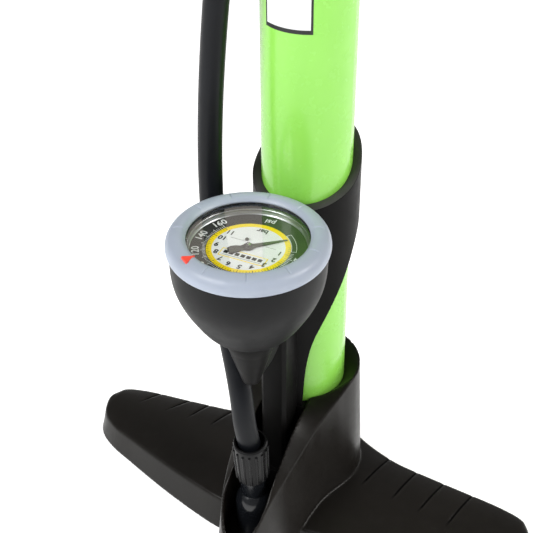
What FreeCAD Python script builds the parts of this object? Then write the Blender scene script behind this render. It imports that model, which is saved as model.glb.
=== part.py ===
import FreeCAD, Part
import os
from math import sin, cos, tan, radians, degrees, pi, sqrt, acos

os.makedirs("parts", exist_ok=True)
V = FreeCAD.Vector

# Floor pump, millimetres. Origin on the floor at the barrel axis, +Z up,
# the gauge and the hose trough point towards -Y, the feet spread along X.

# ---------------------------------------------------------------- dimensions
BARREL_R = 19.0            # outside radius of the barrel tube
BARREL_WALL = 1.4
BARREL_Z0, BARREL_Z1 = 20.0, 598.0
BORE_R = BARREL_R - BARREL_WALL
SLIP = 0.05                # radial clearance of a running fit
SNUG = 0.03                # radial clearance of a static fit

COLLAR_R_LOW, COLLAR_R_TOP = 30.0, 26.7
LEDGE_Z = 18.0             # floor of the barrel socket in the base
RIM_Z = 86.0               # highest point of the base collar
TROUGH_FLOOR = 30.0
TROUGH_HALF = 10.0         # half width of the hose trough
SOLE_Z = 1.0               # underside of the base, the pads stand below it

BRACKET_R = 22.7
SPINE_HALF, SPINE_Y = 6.0, -35.0

GAUGE_Y = -55.6            # gauge axis, vertical
RING_R, RING_LIP = 31.7, 23.95
DIAL_Z = 186.0
BEZEL_Z0, BEZEL_Z1 = 185.9, 193.3
CASE_BOTTOM = 145.0

ROD_R = 6.0
STROKE = 520.0
CAP_R, CAP_Z0, CAP_Z1 = 22.5, BARREL_Z1 - 17.0, BARREL_Z1 + 11.0
HANDLE_Z, HANDLE_HALF = BARREL_Z1 + 59.0, 122.0

HOSE_R = 5.0
HEAD_X, HEAD_Y = 44.0, -22.0   # vertical axis of the pump head
HEAD_Z = 318.0                 # height of the nozzle axis
LOOP_Y, LOOP_Z, LOOP_R = -45.0, BARREL_Z1 - 55.0, 54.0

# ------------------------------------------------------------------- helpers
def cyl(r, z0, z1, x=0.0, y=0.0):
    return Part.makeCylinder(r, z1 - z0, V(x, y, z0))


def tube(ro, ri, z0, z1, x=0.0, y=0.0):
    return cyl(ro, z0, z1, x, y).cut(cyl(ri, z0 - 1, z1 + 1, x, y))


def box(x0, x1, y0, y1, z0, z1):
    return Part.makeBox(x1 - x0, y1 - y0, z1 - z0, V(x0, y0, z0))


def wire(points):
    return Part.makePolygon([V(*p) for p in points] + [V(*points[0])])


def revolve_z(points, x=0.0, y=0.0):
    face = Part.Face(wire([(r, 0, z) for r, z in points]))
    s = face.revolve(V(0, 0, 0), V(0, 0, 1), 360)
    s.translate(V(x, y, 0))
    return solid(s)


def revolve_x(points, y=0.0, z=0.0):
    # points are (x, r)
    face = Part.Face(wire([(x, 0, r) for x, r in points]))
    s = face.revolve(V(0, 0, 0), V(1, 0, 0), 360)
    s.translate(V(0, y, z))
    return solid(s)


def revolve_edges(edges, x=0.0, y=0.0):
    # edges in the XZ plane form one closed wire
    face = Part.Face(Part.Wire(edges))
    s = face.revolve(V(0, 0, 0), V(0, 0, 1), 360)
    s.translate(V(x, y, 0))
    return solid(s)


def prism_z(points, z0, z1):
    return Part.Face(wire([(x, y, z0) for x, y in points])).extrude(V(0, 0, z1 - z0))


def prism_x(points, x0, x1):
    # points are (y, z)
    return Part.Face(wire([(x0, y, z) for y, z in points])).extrude(V(x1 - x0, 0, 0))


def spline(points, periodic=False):
    c = Part.BSplineCurve()
    c.interpolate(Points=[V(*p) for p in points], PeriodicFlag=periodic)
    return c.toShape()


def solid(s):
    if s.ShapeType == "Solid":
        return s
    if len(s.Solids) == 1:
        return s.Solids[0]
    return s


def fillet(shape, r, pick):
    edges = [e for e in shape.Edges if pick(e)]
    if not edges:
        return shape
    for rr in (r, r * 0.6, r * 0.35):
        try:
            f = shape.makeFillet(rr, edges)
            if f.isValid() and f.Volume > 0.5 * shape.Volume:
                return f
        except Exception:
            pass
    return shape


def save(shape, name):
    shape = shape.removeSplitter() if len(shape.Solids) == 1 else shape
    if shape.ShapeType == "Compound" and len(shape.Solids) == 1:
        shape = shape.Solids[0]
    ok = shape.isValid()
    shape.exportStep("parts/%s.step" % name)
    b = shape.optimalBoundingBox(False)
    print("%-18s %s solids %d vol %8.1f  x %.1f..%.1f y %.1f..%.1f z %.1f..%.1f" % (
        name, "ok " if ok else "BAD", len(shape.Solids), shape.Volume,
        b.XMin, b.XMax, b.YMin, b.YMax, b.ZMin, b.ZMax))
    return shape


# ---------------------------------------------------------------------- base
def base_body():
    # drafted collar and bow-like trough: half outline (x, y) at the floor and
    # at z = 90, matched point by point
    low = [(0, 30.0), (15.0, 26.0), (26.0, 15.0), (30.0, 0.0), (27.8, -11.0), (24.8, -18.2), (21.9, -25.3),
           (20.9, -30.3), (19.9, -36.1), (19.1, -42.2), (18.6, -47.7), (18.2, -53.0), (17.8, -57.0), (17.0, -61.5),
           (15.3, -67.5), (9.5, -76.6), (0, -80.5)]
    top = [(0, 26.2), (13.1, 22.7), (22.7, 13.1), (26.2, 0.0), (23.3, -11.0), (20.9, -18.2), (18.9, -25.3),
           (17.4, -30.3), (16.2, -36.1), (14.75, -42.2), (13.2, -47.7), (11.8, -53.0), (10.4, -57.0), (9.0, -61.0),
           (7.3, -65.3), (4.4, -70.6), (0, -74.0)]

    def closed(half, z):
        pts = half + [(-x, y) for x, y in reversed(half[1:-1])]
        return Part.Wire([spline([(x, y, z) for x, y in pts], True)])
    body = solid(Part.makeLoft([closed(low, SOLE_Z), closed(top, 91.0)], True, True))

    # rim: level round the back, then falling to the nose. Beside the trough its
    # top is a band that twists outwards. Stations are (y, z at x = 10, outward slope)
    rim = [(48, RIM_Z, 0), (0, RIM_Z, 0), (-5, 84.2, 0), (-9, 82.0, 0), (-12.7, 80.0, 0), (-16, 78.6, -0.03),
           (-21, 77.6, -0.18), (-27, 76.6, -0.42), (-34, 74.4, -0.68), (-42, 70.1, -0.80), (-50, 65.4, -0.88),
           (-57, 60.4, -0.77), (-62, 56.0, -0.4), (-66, 51.8, 0), (-70, 46.4, 0), (-74, 40.2, 0), (-80, 31.5, 0), (-96, 12, 0)]
    sections = []
    for y, z, m in rim:
        zo = z + m * 30
        sections.append(wire([(-40, y, zo), (-10, y, z), (10, y, z), (40, y, zo), (40, y, 130), (-40, y, 130)]))
    body = body.cut(solid(Part.makeLoft(sections, True, True)))

    # feet: one boomerang outline, crowned along X and along Y
    half = [(0, -46.5), (24.5, -45.4), (42.6, -41.1), (65.3, -33.9), (87.5, -25.7), (104.0, -19.0),
            (113.5, -12.0), (118.6, -1.0), (118.2, 8.0), (112.0, 15.0), (100.0, 17.6), (70.0, 18.8),
            (45.0, 20.5), (30.0, 25.0), (14.0, 32.5), (0, 34.0)]

    def outline(inset):
        pts = []
        for i, (x, y) in enumerate(half):
            x0, y0 = half[max(i - 1, 0)]
            x1, y1 = half[min(i + 1, len(half) - 1)]
            dx, dy = x1 - x0, y1 - y0
            n = sqrt(dx * dx + dy * dy)
            pts.append((max(x - inset * dy / n, 0) if x else 0, y + inset * dx / n))
        pts[0] = (0, half[0][1] + inset)
        pts[-1] = (0, half[-1][1] - inset)
        return pts + [(-x, y) for x, y in reversed(pts[1:-1])]

    def arch_xz(drop):
        arc = [(-121, 13.0), (-105, 16.0), (-70, 19.2), (-30, 22.6), (0, 24.0), (30, 22.6),
               (70, 19.2), (105, 16.0), (121, 13.0)]
        e = spline([(x, -60, z - drop) for x, z in arc])
        w = Part.Wire([e, Part.makeLine(V(121, -60, 13.0 - drop), V(121, -60, -10)),
                       Part.makeLine(V(121, -60, -10), V(-121, -60, -10)),
                       Part.makeLine(V(-121, -60, -10), V(-121, -60, 13.0 - drop))])
        return Part.Face(w).extrude(V(0, 120, 0))

    def arch_yz(drop):
        arc = [(-50, 14.0), (-38, 17.6), (-20, 21.6), (0, 23.6), (14, 22.0), (26, 17.0), (37, 11.5)]
        e = spline([(-125, y, z - drop) for y, z in arc])
        w = Part.Wire([e, Part.makeLine(V(-125, 37, 11.5 - drop), V(-125, 37, -10)),
                       Part.makeLine(V(-125, 37, -10), V(-125, -50, -10)),
                       Part.makeLine(V(-125, -50, -10), V(-125, -50, 14.0 - drop))])
        return Part.Face(w).extrude(V(250, 0, 0))

    def feet(inset, z0, drop):
        w0 = Part.Wire([spline([(x, y, z0) for x, y in outline(inset)], True)])
        w1 = Part.Wire([spline([(x, y, 26.0) for x, y in outline(inset + 3.0)], True)])
        s = solid(Part.makeLoft([w0, w1], True, True))
        return s.common(arch_xz(drop)).common(arch_yz(drop))
    wings = solid(feet(0.0, SOLE_Z, 0.0))
    body = body.fuse(wings)

    # underside pockets, ribs left standing
    pocket = feet(3.2, SOLE_Z - 6.0, 3.0)
    keep = cyl(29.0, -8, 40).fuse(box(-17, 17, -60, 0, -8, 40)).fuse(cyl(6.5, -8, 40, 0, 26.0))
    for x in (44, 64, 84):
        for sgn in (-1, 1):
            keep = keep.fuse(box(sgn * x - 1.1, sgn * x + 1.1, -60, 40, -8, 40))
    for sgn in (-1, 1):
        keep = keep.fuse(box(min(sgn * 26, sgn * 112), max(sgn * 26, sgn * 112), -4.1, -1.9, -8, 40))
        keep = keep.fuse(cyl(8.0, -8, 40, sgn * 103, -6)).fuse(cyl(8.0, -8, 40, sgn * 103, 7.5))
    body = body.cut(pocket.cut(keep))

    # hose trough, open upwards
    tr = [(0, -76.2), (4.2, -75.0), (7.2, -71.8), (9.0, -68.8), (9.9, -65.0), (TROUGH_HALF, -60.0),
          (TROUGH_HALF, -50.0), (TROUGH_HALF, -40.0), (TROUGH_HALF, -26.0), (TROUGH_HALF, -8.0)]
    pts = list(reversed(tr)) + [(-x, y) for x, y in tr[1:]]
    e = spline([(x, y, TROUGH_FLOOR) for x, y in pts])
    w = Part.Wire([e, Part.makeLine(V(-TROUGH_HALF, -8, TROUGH_FLOOR), V(TROUGH_HALF, -8, TROUGH_FLOOR))])
    body = body.cut(Part.Face(w).extrude(V(0, 0, 80)))

    # barrel socket with its dished mouth
    body = body.cut(cyl(BARREL_R + SNUG, LEDGE_Z, 120))
    body = body.cut(revolve_z([(BARREL_R - 1, 77.5), (BARREL_R + 0.2, 78.6), (27.2, 86.6), (27.2, 95),
                               (BARREL_R - 1, 95)]))
    # check valve pocket and the air way to the trough
    body = body.cut(cyl(8.0 + SNUG, 3.0, LEDGE_Z + 1))
    body = body.cut(Part.makeCylinder(2.0, 51.0, V(0, -5.0, 7.5), V(0, -1, 0)))
    body = body.cut(cyl(2.0, 7.5, TROUGH_FLOOR + 1, 0, -55.4))
    # seats of the foot pads
    for x, y, r in PADS:
        body = body.cut(cyl(r + SNUG, -5, 3.0, x, y))
    return solid(body)


PADS = [(103, -6, 6.0), (103, 7.5, 6.0), (-103, -6, 6.0), (-103, 7.5, 6.0), (0, 26.0, 5.0),
        (11.5, -47.0, 4.6), (-11.5, -47.0, 4.6), (0, 0, 9.0)]
base = save(base_body(), "base")

pads = Part.makeCompound([revolve_z([(0, 0), (r - 0.8, 0), (r, 0.8), (r, 3.0), (0, 3.0)], x, y)
                          for x, y, r in PADS])
save(pads, "foot_pads")

# -------------------------------------------------------------------- barrel
save(tube(BARREL_R, BORE_R, BARREL_Z0, BARREL_Z1), "barrel")
save(revolve_z([(15.6, LEDGE_Z), (18.7, LEDGE_Z), (18.9, LEDGE_Z + 0.4), (18.9, BARREL_Z0 - 0.4),
                (18.7, BARREL_Z0), (15.6, BARREL_Z0)]), "base_seal")

# --------------------------------------------------------------- check valve
BALL_R, BALL_Z = 3.5, 14.25
vb = cyl(8.0, 3.0, 22.0).fuse(cyl(11.0, LEDGE_Z, 21.0))
vb = vb.cut(cyl(4.2, 5.0, 16.0)).cut(cyl(2.5, 15.0, 30.0))
vb = vb.cut(Part.makeCone(4.2, 2.5, 2.0, V(0, 0, 15.99)))
vb = vb.cut(Part.makeCylinder(2.0, 12.0, V(0, 0, 7.5), V(0, -1, 0)))
save(solid(vb), "valve_body")
save(Part.makeSphere(BALL_R, V(0, 0, BALL_Z)), "check_ball")
helix = Part.makeHelix(1.45, 4.6, 2.7)
helix.translate(V(0, 0, 5.45))
start = helix.Edges[0].valueAt(helix.Edges[0].FirstParameter)
prof = Part.Wire([Part.makeCircle(0.35, start, V(0, 1, 0.085))])
spring = Part.Wire(helix.Edges).makePipeShell([prof], True, True)
save(solid(spring), "check_spring")

# ------------------------------------------------------------- hose fitting
NUT_DIR = V(0, -0.0823, 0.9966)
FIT_Y = -55.4


def tilt(shape):
    # lean of the fitting and its nut about the X axis, at the dome's centre
    shape.rotate(V(0, FIT_Y, 50.0), V(1, 0, 0), 4.72)
    return shape


dome_arc = Part.Arc(V(8.6, 0, 43.0), V(7.4, 0, 49.2), V(5.9, 0, 51.2)).toShape()
pts = [(0, 30.0), (8.6, 30.0)]
edges = [Part.makeLine(V(0, 0, TROUGH_FLOOR), V(8.6, 0, TROUGH_FLOOR)),
         Part.makeLine(V(8.6, 0, TROUGH_FLOOR), V(8.6, 0, 43.0)), dome_arc,
         Part.makeLine(V(5.9, 0, 51.2), V(0, 0, 51.2)), Part.makeLine(V(0, 0, 51.2), V(0, 0, TROUGH_FLOOR))]
fit = revolve_edges(edges, 0, FIT_Y)
neck = tilt(cyl(5.9, 46.0, 62.0, 0, FIT_Y).fuse(cyl(4.6, 61.0, 75.6, 0, FIT_Y)))
fit = fit.fuse(neck).cut(cyl(2.0, 20, 47, 0, FIT_Y)).cut(tilt(cyl(1.8, 45.0, 90.0, 0, FIT_Y)))
save(solid(fit), "hose_fitting")

NUT_Z0, NUT_Z1 = 61.5, 84.6
nut = revolve_z([(5.95, NUT_Z0), (6.6, NUT_Z0), (7.1, NUT_Z0 + 0.8), (7.6, NUT_Z1 - 2.2), (7.6, NUT_Z1 - 0.9),
                 (7.2, NUT_Z1), (6.5, NUT_Z1), (5.2, NUT_Z1 - 4.5), (5.15, NUT_Z1 - 6.4), (2.0, NUT_Z1 - 6.4),
                 (2.0, NUT_Z1 - 8.6), (4.65, NUT_Z1 - 8.6), (4.65, 62.6), (5.95, 62.6)], 0, FIT_Y)
for i in range(16):
    a = radians(22.5 * i)
    rib = Part.makeCone(0.62, 0.70, NUT_Z1 - 3.0 - 63.0, V(7.05 * cos(a), FIT_Y + 7.05 * sin(a), 63.0),
                        V(0.0205 * cos(a), 0.0205 * sin(a), 1))
    nut = nut.fuse(rib)
nut = tilt(nut)
save(solid(nut), "hose_nut")
# top face centre of the nut, where the hose leaves it
ang = radians(4.72)
NUT_TOP = V(0, FIT_Y - (NUT_Z1 - 50.0) * sin(ang), 50.0 + (NUT_Z1 - 50.0) * cos(ang))
print("nut top", NUT_TOP)

# ---------------------------------------------------------------------- hose
k = LOOP_R * tan(radians(22.5))
ROUTE = [
    (0.1, -57.75, 79.0),
    (-2.0, -58.9, 92.0),
    (-4.1, -56.6, 104.5),
    (-8.2, -52.4, 116.5),
    (-13.6, -47.2, 128.5),
    (-20.0, -40.8, 141.5),
    (-25.7, -34.6, 158.0),
    (-30.4, -28.6, 182.0),
    (-31.8, -25.0, 212.0),
    (-28.6, -25.2, 252.0),
    (-23.2, -26.2, 292.0),
    (-21.6, -29.8, 334.0),
    (-27.2, -34.6, 378.0),
    (-39.5, -39.6, 424.0),
    (-50.0, -43.4, 470.0),
    (-54.4, -45.2, 520.0),
    (-LOOP_R, LOOP_Y, LOOP_Z + k),
    (-k, LOOP_Y - 0.01, LOOP_Z + LOOP_R),
    (k, LOOP_Y - 0.01, LOOP_Z + LOOP_R),
    (LOOP_R, LOOP_Y, LOOP_Z + k),
    (54.6, -45.4, 518.0),
    (55.4, -42.0, 474.0),
    (50.6, -32.6, 434.0),
    (HEAD_X, HEAD_Y, 403.0),
    (HEAD_X, HEAD_Y, 380.0),
]


def cord_path(route):
    pts = [V(*p) for p in route]
    edges = []
    last = pts[0]
    total = 0.0
    radii = []
    for i in range(1, len(pts) - 1):
        p0, p, p1 = pts[i - 1], pts[i], pts[i + 1]
        a, b = (p0 - p), (p1 - p)
        la, lb = a.Length, b.Length
        a.normalize()
        b.normalize()
        turn = pi - acos(max(-1, min(1, a.dot(b))))
        t = 0.45 * min(la, lb)
        r = t / tan(turn / 2)
        radii.append((i, round(r, 1), round(degrees(turn), 1)))
        t0, t1 = p + a * t, p + b * t
        bis = a + b
        bis.normalize()
        d = sqrt(r * r + t * t)
        mid = p + bis * (d - r)
        edges.append(Part.LineSegment(last, t0).toShape())
        total += (t0 - last).Length + r * turn
        edges.append(Part.Arc(t0, mid, t1).toShape())
        last = t1
    edges.append(Part.LineSegment(last, pts[-1]).toShape())
    total += (pts[-1] - last).Length
    return Part.Wire(edges), total, radii


path, hose_len, radii = cord_path(ROUTE)
print("hose length %.1f mm" % hose_len)
print("hose radii", radii)
d0 = V(*ROUTE[1]) - V(*ROUTE[0])
sec = Part.Wire([Part.makeCircle(HOSE_R, V(*ROUTE[0]), d0)])
hose = solid(path.makePipeShell([sec], True, False))
if hose.Volume < 0:
    hose.reverse()
print("hose volume %.0f, section times length %.0f" % (hose.Volume, pi * HOSE_R ** 2 * hose_len))
save(hose, "hose")

# ------------------------------------------------------------- gauge bracket
def air_path(r, z0, y1):
    # air line from the base up the spine to the gauge socket
    w = Part.Wire([Part.makeLine(V(0, -28.5, z0), V(0, -28.5, 125.0)),
                   Part.Arc(V(0, -28.5, 125.0), V(0, -28.5 - 6 * (1 - cos(pi / 4)), 125.0 + 6 * sin(pi / 4)),
                            V(0, -34.5, 131.0)).toShape(),
                   Part.makeLine(V(0, -34.5, 131.0), V(0, y1, 131.0))])
    return solid(w.makePipeShell([Part.Wire([Part.makeCircle(r, V(0, -28.5, z0), V(0, 0, 1))])], True, False))


def bracket():
    ring = tube(BRACKET_R, BARREL_R + SNUG, 55.0, 215.0)
    # oblique top, side profile in (y, z)
    top = [(-40, 178.5), (-22.7, 183.3), (-14, 186.6), (-4, 190.6), (6, 196.5), (14, 202.4), (22.7, 207.0), (40, 212.5)]
    e = spline([(-40, y, z) for y, z in top])
    w = Part.Wire([e, Part.makeLine(V(-40, 40, 212.5), V(-40, 40, 260)),
                   Part.makeLine(V(-40, 40, 260), V(-40, -40, 260)),
                   Part.makeLine(V(-40, -40, 260), V(-40, -40, 178.5))])
    ring = ring.cut(Part.Face(w).extrude(V(80, 0, 0)))
    low = [(-21.15, 40), (-21.1, 68), (-20.9, 86), (-20.3, 103), (-18.6, 117), (-15.5, 127.5), (-11.7, 137), (-7.2, 146.5),
           (-3.5, 154.0), (2.0, 163.0), (9.95, 170.5), (20.0, 177.5), (40.0, 190.0)]
    e = spline([(-40, y, z) for y, z in low])
    w = Part.Wire([e, Part.makeLine(V(-40, 40, 190), V(-40, 40, 40)),
                   Part.makeLine(V(-40, 40, 40), V(-40, -21.15, 40))])
    ring = ring.cut(Part.Face(w).extrude(V(80, 0, 0)))
    # spine with a rounded front, carries the air line
    spine = prism_z([(-SPINE_HALF, -19.6), (-SPINE_HALF, SPINE_Y + 1.5), (-SPINE_HALF + 1.5, SPINE_Y),
                     (SPINE_HALF - 1.5, SPINE_Y), (SPINE_HALF, SPINE_Y + 1.5), (SPINE_HALF, -19.6)], 44.0, 168.0)
    spine = spine.cut(prism_x([(-60, 148), (-34, 152), (-24, 175), (-24, 230), (-60, 230)], -10, 10))
    # arm that runs forward under the gauge case
    arm = prism_x([(-22, 124), (-33, 123.5), (-38, 121.0), (-43, 119.4), (-50.5, 119.3), (-56, 120.0), (-56, 144.5), (-44, 144.5),
                   (-38, 147), (-33, 153), (-22, 153)], -3.8, 3.8)
    arm = fillet(arm, 1.4, lambda e: abs(e.Vertexes[0].Point.x - e.Vertexes[-1].Point.x) < 1e-6
                 and e.BoundBox.ZMax < 124.1 and e.BoundBox.YMax < -32)
    lug = revolve_edges([
        Part.makeLine(V(0, 0, 117.0), V(1.6, 0, 117.0)),
        Part.Arc(V(1.6, 0, 117.0), V(3.3, 0, 117.9), V(4.2, 0, 119.8)).toShape(),
        Part.makeLine(V(4.2, 0, 119.8), V(9.3, 0, 137.0)),
        Part.Arc(V(9.3, 0, 137.0), V(10.4, 0, 141.0), V(10.7, 0, CASE_BOTTOM - 0.4)).toShape(),
        Part.makeLine(V(10.7, 0, CASE_BOTTOM - 0.4), V(10.3, 0, CASE_BOTTOM)),
        Part.makeLine(V(10.3, 0, CASE_BOTTOM), V(0, 0, CASE_BOTTOM)),
        Part.makeLine(V(0, 0, CASE_BOTTOM), V(0, 0, 117.0))], 0, GAUGE_Y)
    # foot of the spine, seated on the trough floor behind the fitting
    foot = box(-7.5, 7.5, -37.0, -20.0, TROUGH_FLOOR, 46.0)
    # cheeks that close the slot between the spine and the trough walls
    cheeks = box(-9.7, 9.7, -22.3, -14.0, TROUGH_FLOOR, 76.5)
    b = ring.fuse(spine).fuse(arm).fuse(lug).fuse(foot).fuse(cheeks)
    b = b.cut(cyl(BARREL_R + SNUG, 20, 240))
    # channel of the air line and the seat of the gauge socket
    b = b.cut(air_path(2.3, 28.0, -51.2))
    b = b.cut(cyl(5.0 + SNUG, 128.0, 160.0, 0, GAUGE_Y))
    # clear of the case bowl
    b = b.cut(revolve_z([(0, 149.5), (18.4, 149.5), (20.6, 151.8), (22.8, 155.2), (24.8, 158.7), (26.7, 162.2), (28.4, 166.0),
                         (29.8, 170.0), (30.9, 174.4), (31.3, 180.0), (0, 180.0)], 0, GAUGE_Y))
    # screw holes through the back of the ring
    for z in SCREW_Z:
        b = b.cut(Part.makeCylinder(1.5 + SNUG, 12, V(0, 17, z), V(0, 1, 0)))
    return solid(b)


SCREW_Z = (186.5, 197.5)
br = bracket()
save(br, "gauge_bracket")
screws = []
for z in SCREW_Z:
    s = Part.makeCylinder(1.5, 3.8, V(0, BARREL_R + SNUG + 0.02, z), V(0, 1, 0))
    h = Part.makeCylinder(2.9, 1.7, V(0, BRACKET_R + 0.02, z), V(0, 1, 0))
    h = h.makeFillet(0.7, [e for e in h.Edges if abs(e.BoundBox.YMin - (BRACKET_R + 1.72)) < 0.01 and len(e.Vertexes) == 1
                           and abs(e.BoundBox.YMax - e.BoundBox.YMin) < 0.01])
    s = s.fuse(h)
    for w in ((0.35, 1.6), (1.6, 0.35)):
        s = s.cut(box(-w[0], w[0], BRACKET_R + 0.7, BRACKET_R + 3, z - w[1], z + w[1]))
    screws.append(solid(s))
save(Part.makeCompound(screws), "bracket_screws")

save(air_path(2.0, TROUGH_FLOOR, -50.95), "air_line")

# --------------------------------------------------------------------- gauge
OUT = [(11.2, 145.0), (14.0, 145.9), (17.6, 148.6), (20.2, 151.8), (22.4, 155.2), (24.4, 158.7), (26.3, 162.2),
       (28.0, 166.0), (29.4, 170.0), (30.3, 174.4), (30.7, 179.5), (30.7, 185.6)]
INN = [(r - 2.4, z + 1.2) for r, z in OUT[2:-1]]
e_out = spline([(r, 0, z) for r, z in OUT])
i0, i1 = (10.6, 147.6), (28.2, 185.6)
inn_pts = [i1] + [(r, z) for r, z in reversed(INN)] + [i0]
e_in = spline([(r, 0, z) for r, z in inn_pts])
case = revolve_edges([e_out, Part.makeLine(V(30.7, 0, 185.6), V(28.2, 0, 185.6)), e_in,
                      Part.makeLine(V(10.6, 0, 147.6), V(5.05, 0, 147.6)),
                      Part.makeLine(V(5.05, 0, 147.6), V(5.05, 0, 145.0)),
                      Part.makeLine(V(5.05, 0, 145.0), V(11.2, 0, 145.0))], 0, GAUGE_Y)
neckring = tube(26.0, 24.75, 179.0, 189.2, 0, GAUGE_Y).fuse(tube(29.0, 24.75, 182.4, 185.2, 0, GAUGE_Y))
case = case.fuse(neckring)
save(solid(case), "gauge_case")

# soft bezel ring, turns on the neck of the case
ring_out = [(30.8, BEZEL_Z0), (31.6, BEZEL_Z0 + 0.6), (32.0, 188.2), (31.6, 190.3), (30.3, 192.1), (28.2, 193.1), (26.2, 193.3),
            (24.9, 192.8), (RING_LIP, 191.8)]
e1 = spline([(r, 0, z) for r, z in ring_out])
ring = revolve_edges([Part.makeLine(V(26.6, 0, BEZEL_Z0), V(30.8, 0, BEZEL_Z0)), e1,
                      Part.makeLine(V(RING_LIP, 0, 191.8), V(RING_LIP, 0, 191.1)),
                      Part.makeLine(V(RING_LIP, 0, 191.1), V(26.06, 0, 191.1)),
                      Part.makeLine(V(26.06, 0, 191.1), V(26.06, 0, BEZEL_Z0 + 0.6)),
                      Part.makeLine(V(26.06, 0, BEZEL_Z0 + 0.6), V(26.6, 0, BEZEL_Z0))], 0, GAUGE_Y)
ring.rotate(V(0, GAUGE_Y, 0), V(0, 0, 1), 16.4)     # the seam of the revolution lies between two nicks
MARK_A = 242.0
for i in range(11):
    a = 360.0 / 11 * i
    if abs(a - MARK_A) < 10:
        continue
    n = box(RING_LIP + 2.6, RING_LIP + 7.0, -0.5, 0.5, 192.72, 195.0).fuse(cyl(0.5, 192.72, 195.0, RING_LIP + 2.6, 0))
    n.rotate(V(0, 0, 0), V(0, 0, 1), a)
    n.translate(V(0, GAUGE_Y, 0))
    ring = ring.cut(n)
save(solid(ring), "bezel_ring")
# pressure marker, a wedge let into the top of the ring
mk = prism_z([(RING_LIP + 0.3, 0), (RING_LIP + 6.6, 2.7), (RING_LIP + 6.2, -2.7)], 191.5, 193.75)
mk.rotate(V(0, 0, 0), V(0, 0, 1), MARK_A)
mk.translate(V(0, GAUGE_Y, 0))
save(solid(mk.cut(ring)), "target_marker")

save(tube(24.7, 22.9, DIAL_Z, 189.2, 0, GAUGE_Y).fuse(tube(24.7, 23.6, 188.4, 189.2, 0, GAUGE_Y)), "dial_rim")
save(revolve_z([(0, 189.25), (25.2, 189.25), (25.2, 190.5), (24.9, 190.8), (0, 190.8)], 0, GAUGE_Y), "gauge_crystal")
save(tube(24.7, 1.3, DIAL_Z - 0.9, DIAL_Z, 0, GAUGE_Y), "dial_plate")

# needle points to zero at rest, the arbor runs in the movement
NEEDLE_A = 41.0
NZ = 186.45
nd = prism_z([(-8.0, -1.5), (-8.3, 0), (-8.0, 1.5), (-6.5, 2.2), (-4.5, 2.0), (-2.6, 1.3), (0, 2.1), (2.2, 1.1), (15.6, 0.22),
              (15.6, -0.22), (2.2, -1.1), (0, -2.1), (-2.6, -1.3), (-4.5, -2.0), (-6.5, -2.2)], NZ, NZ + 0.4)
nd.rotate(V(0, 0, 0), V(0, 0, 1), NEEDLE_A)
nd = nd.fuse(cyl(2.3, NZ, NZ + 0.4)).fuse(cyl(1.15, NZ, NZ + 1.5)).fuse(cyl(0.8, 176.0, NZ + 0.1))
nd.translate(V(0, GAUGE_Y, 0))
save(solid(nd), "gauge_needle")
mv = box(-9, 9, GAUGE_Y - 6, GAUGE_Y + 6, 181.0, 182.2).fuse(box(-9, 9, GAUGE_Y - 6, GAUGE_Y + 6, 174.0, 175.2))
for sx in (-1, 1):
    mv = mv.fuse(cyl(1.4, 174.5, 185.1, sx * 7, GAUGE_Y - 4)).fuse(cyl(1.4, 174.5, 182.0, sx * 7, GAUGE_Y + 4))
mv = mv.fuse(cyl(2.2, 175.0, 177.0, 0, GAUGE_Y)).cut(cyl(0.8 + SLIP, 175.5, 190, 0, GAUGE_Y))
mv = mv.fuse(box(-3, 3, GAUGE_Y - 3, GAUGE_Y + 3, 165.5, 174.2))
save(solid(mv), "movement")
# brass socket: stem through the case floor into the lug, block inside
sk = cyl(5.0, 128.0, 150.0, 0, GAUGE_Y).fuse(prism_z([(9.2 * cos(radians(60 * i)), GAUGE_Y + 9.2 * sin(radians(60 * i))) for i in range(6)], 147.65, 153.0))
sk = sk.fuse(box(-4.5, 4.5, GAUGE_Y - 4.5, GAUGE_Y + 4.5, 152.5, 165.5))
sk = sk.cut(box(-10, 10, -51.0, -45, 120, 140))
sk = sk.cut(cyl(1.6, 130.0, 160.0, 0, GAUGE_Y)).cut(Part.makeCylinder(1.5, 5.0, V(0, -50.8, 131.7), V(0, -1, 0)))
save(solid(sk), "gauge_socket")
# bourdon tube, a flattened C around the block
bt = Part.makeTorus(14.0, 1.7, V(0, GAUGE_Y, 160.5), V(0, 0, 1), 0, 360, 262)
link = box(4.5, 13.2, GAUGE_Y - 1.3, GAUGE_Y + 1.3, 159.4, 161.6)
bt = bt.fuse(link)
save(solid(bt), "bourdon_tube")

# ------------------------------------------------------------- top of barrel
cap = revolve_z([(BARREL_R + SNUG, CAP_Z0), (CAP_R - 0.8, CAP_Z0), (CAP_R, CAP_Z0 + 0.8), (CAP_R, CAP_Z1 - 6.0),
                 (CAP_R - 1.6, CAP_Z1 - 2.0), (CAP_R - 6.0, CAP_Z1), (9.0 + SNUG, CAP_Z1), (9.0 + SNUG, BARREL_Z1),
                 (BARREL_R + SNUG, BARREL_Z1)])
for i in range(24):
    a = radians(15 * i)
    cap = cap.cut(cyl(0.9, CAP_Z0 + 4, CAP_Z1 - 8.5, (CAP_R + 0.35) * cos(a), (CAP_R + 0.35) * sin(a)))
save(solid(cap), "top_cap")
save(revolve_z([(ROD_R + SLIP, BARREL_Z1 - 5.0), (15.0, BARREL_Z1 - 5.0), (15.0, BARREL_Z1 - 0.4), (9.0, BARREL_Z1), (9.0, CAP_Z1 + 0.6), (8.4, CAP_Z1 + 1.2),
                (ROD_R + SLIP, CAP_Z1 + 1.2)]), "rod_bushing")

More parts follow.
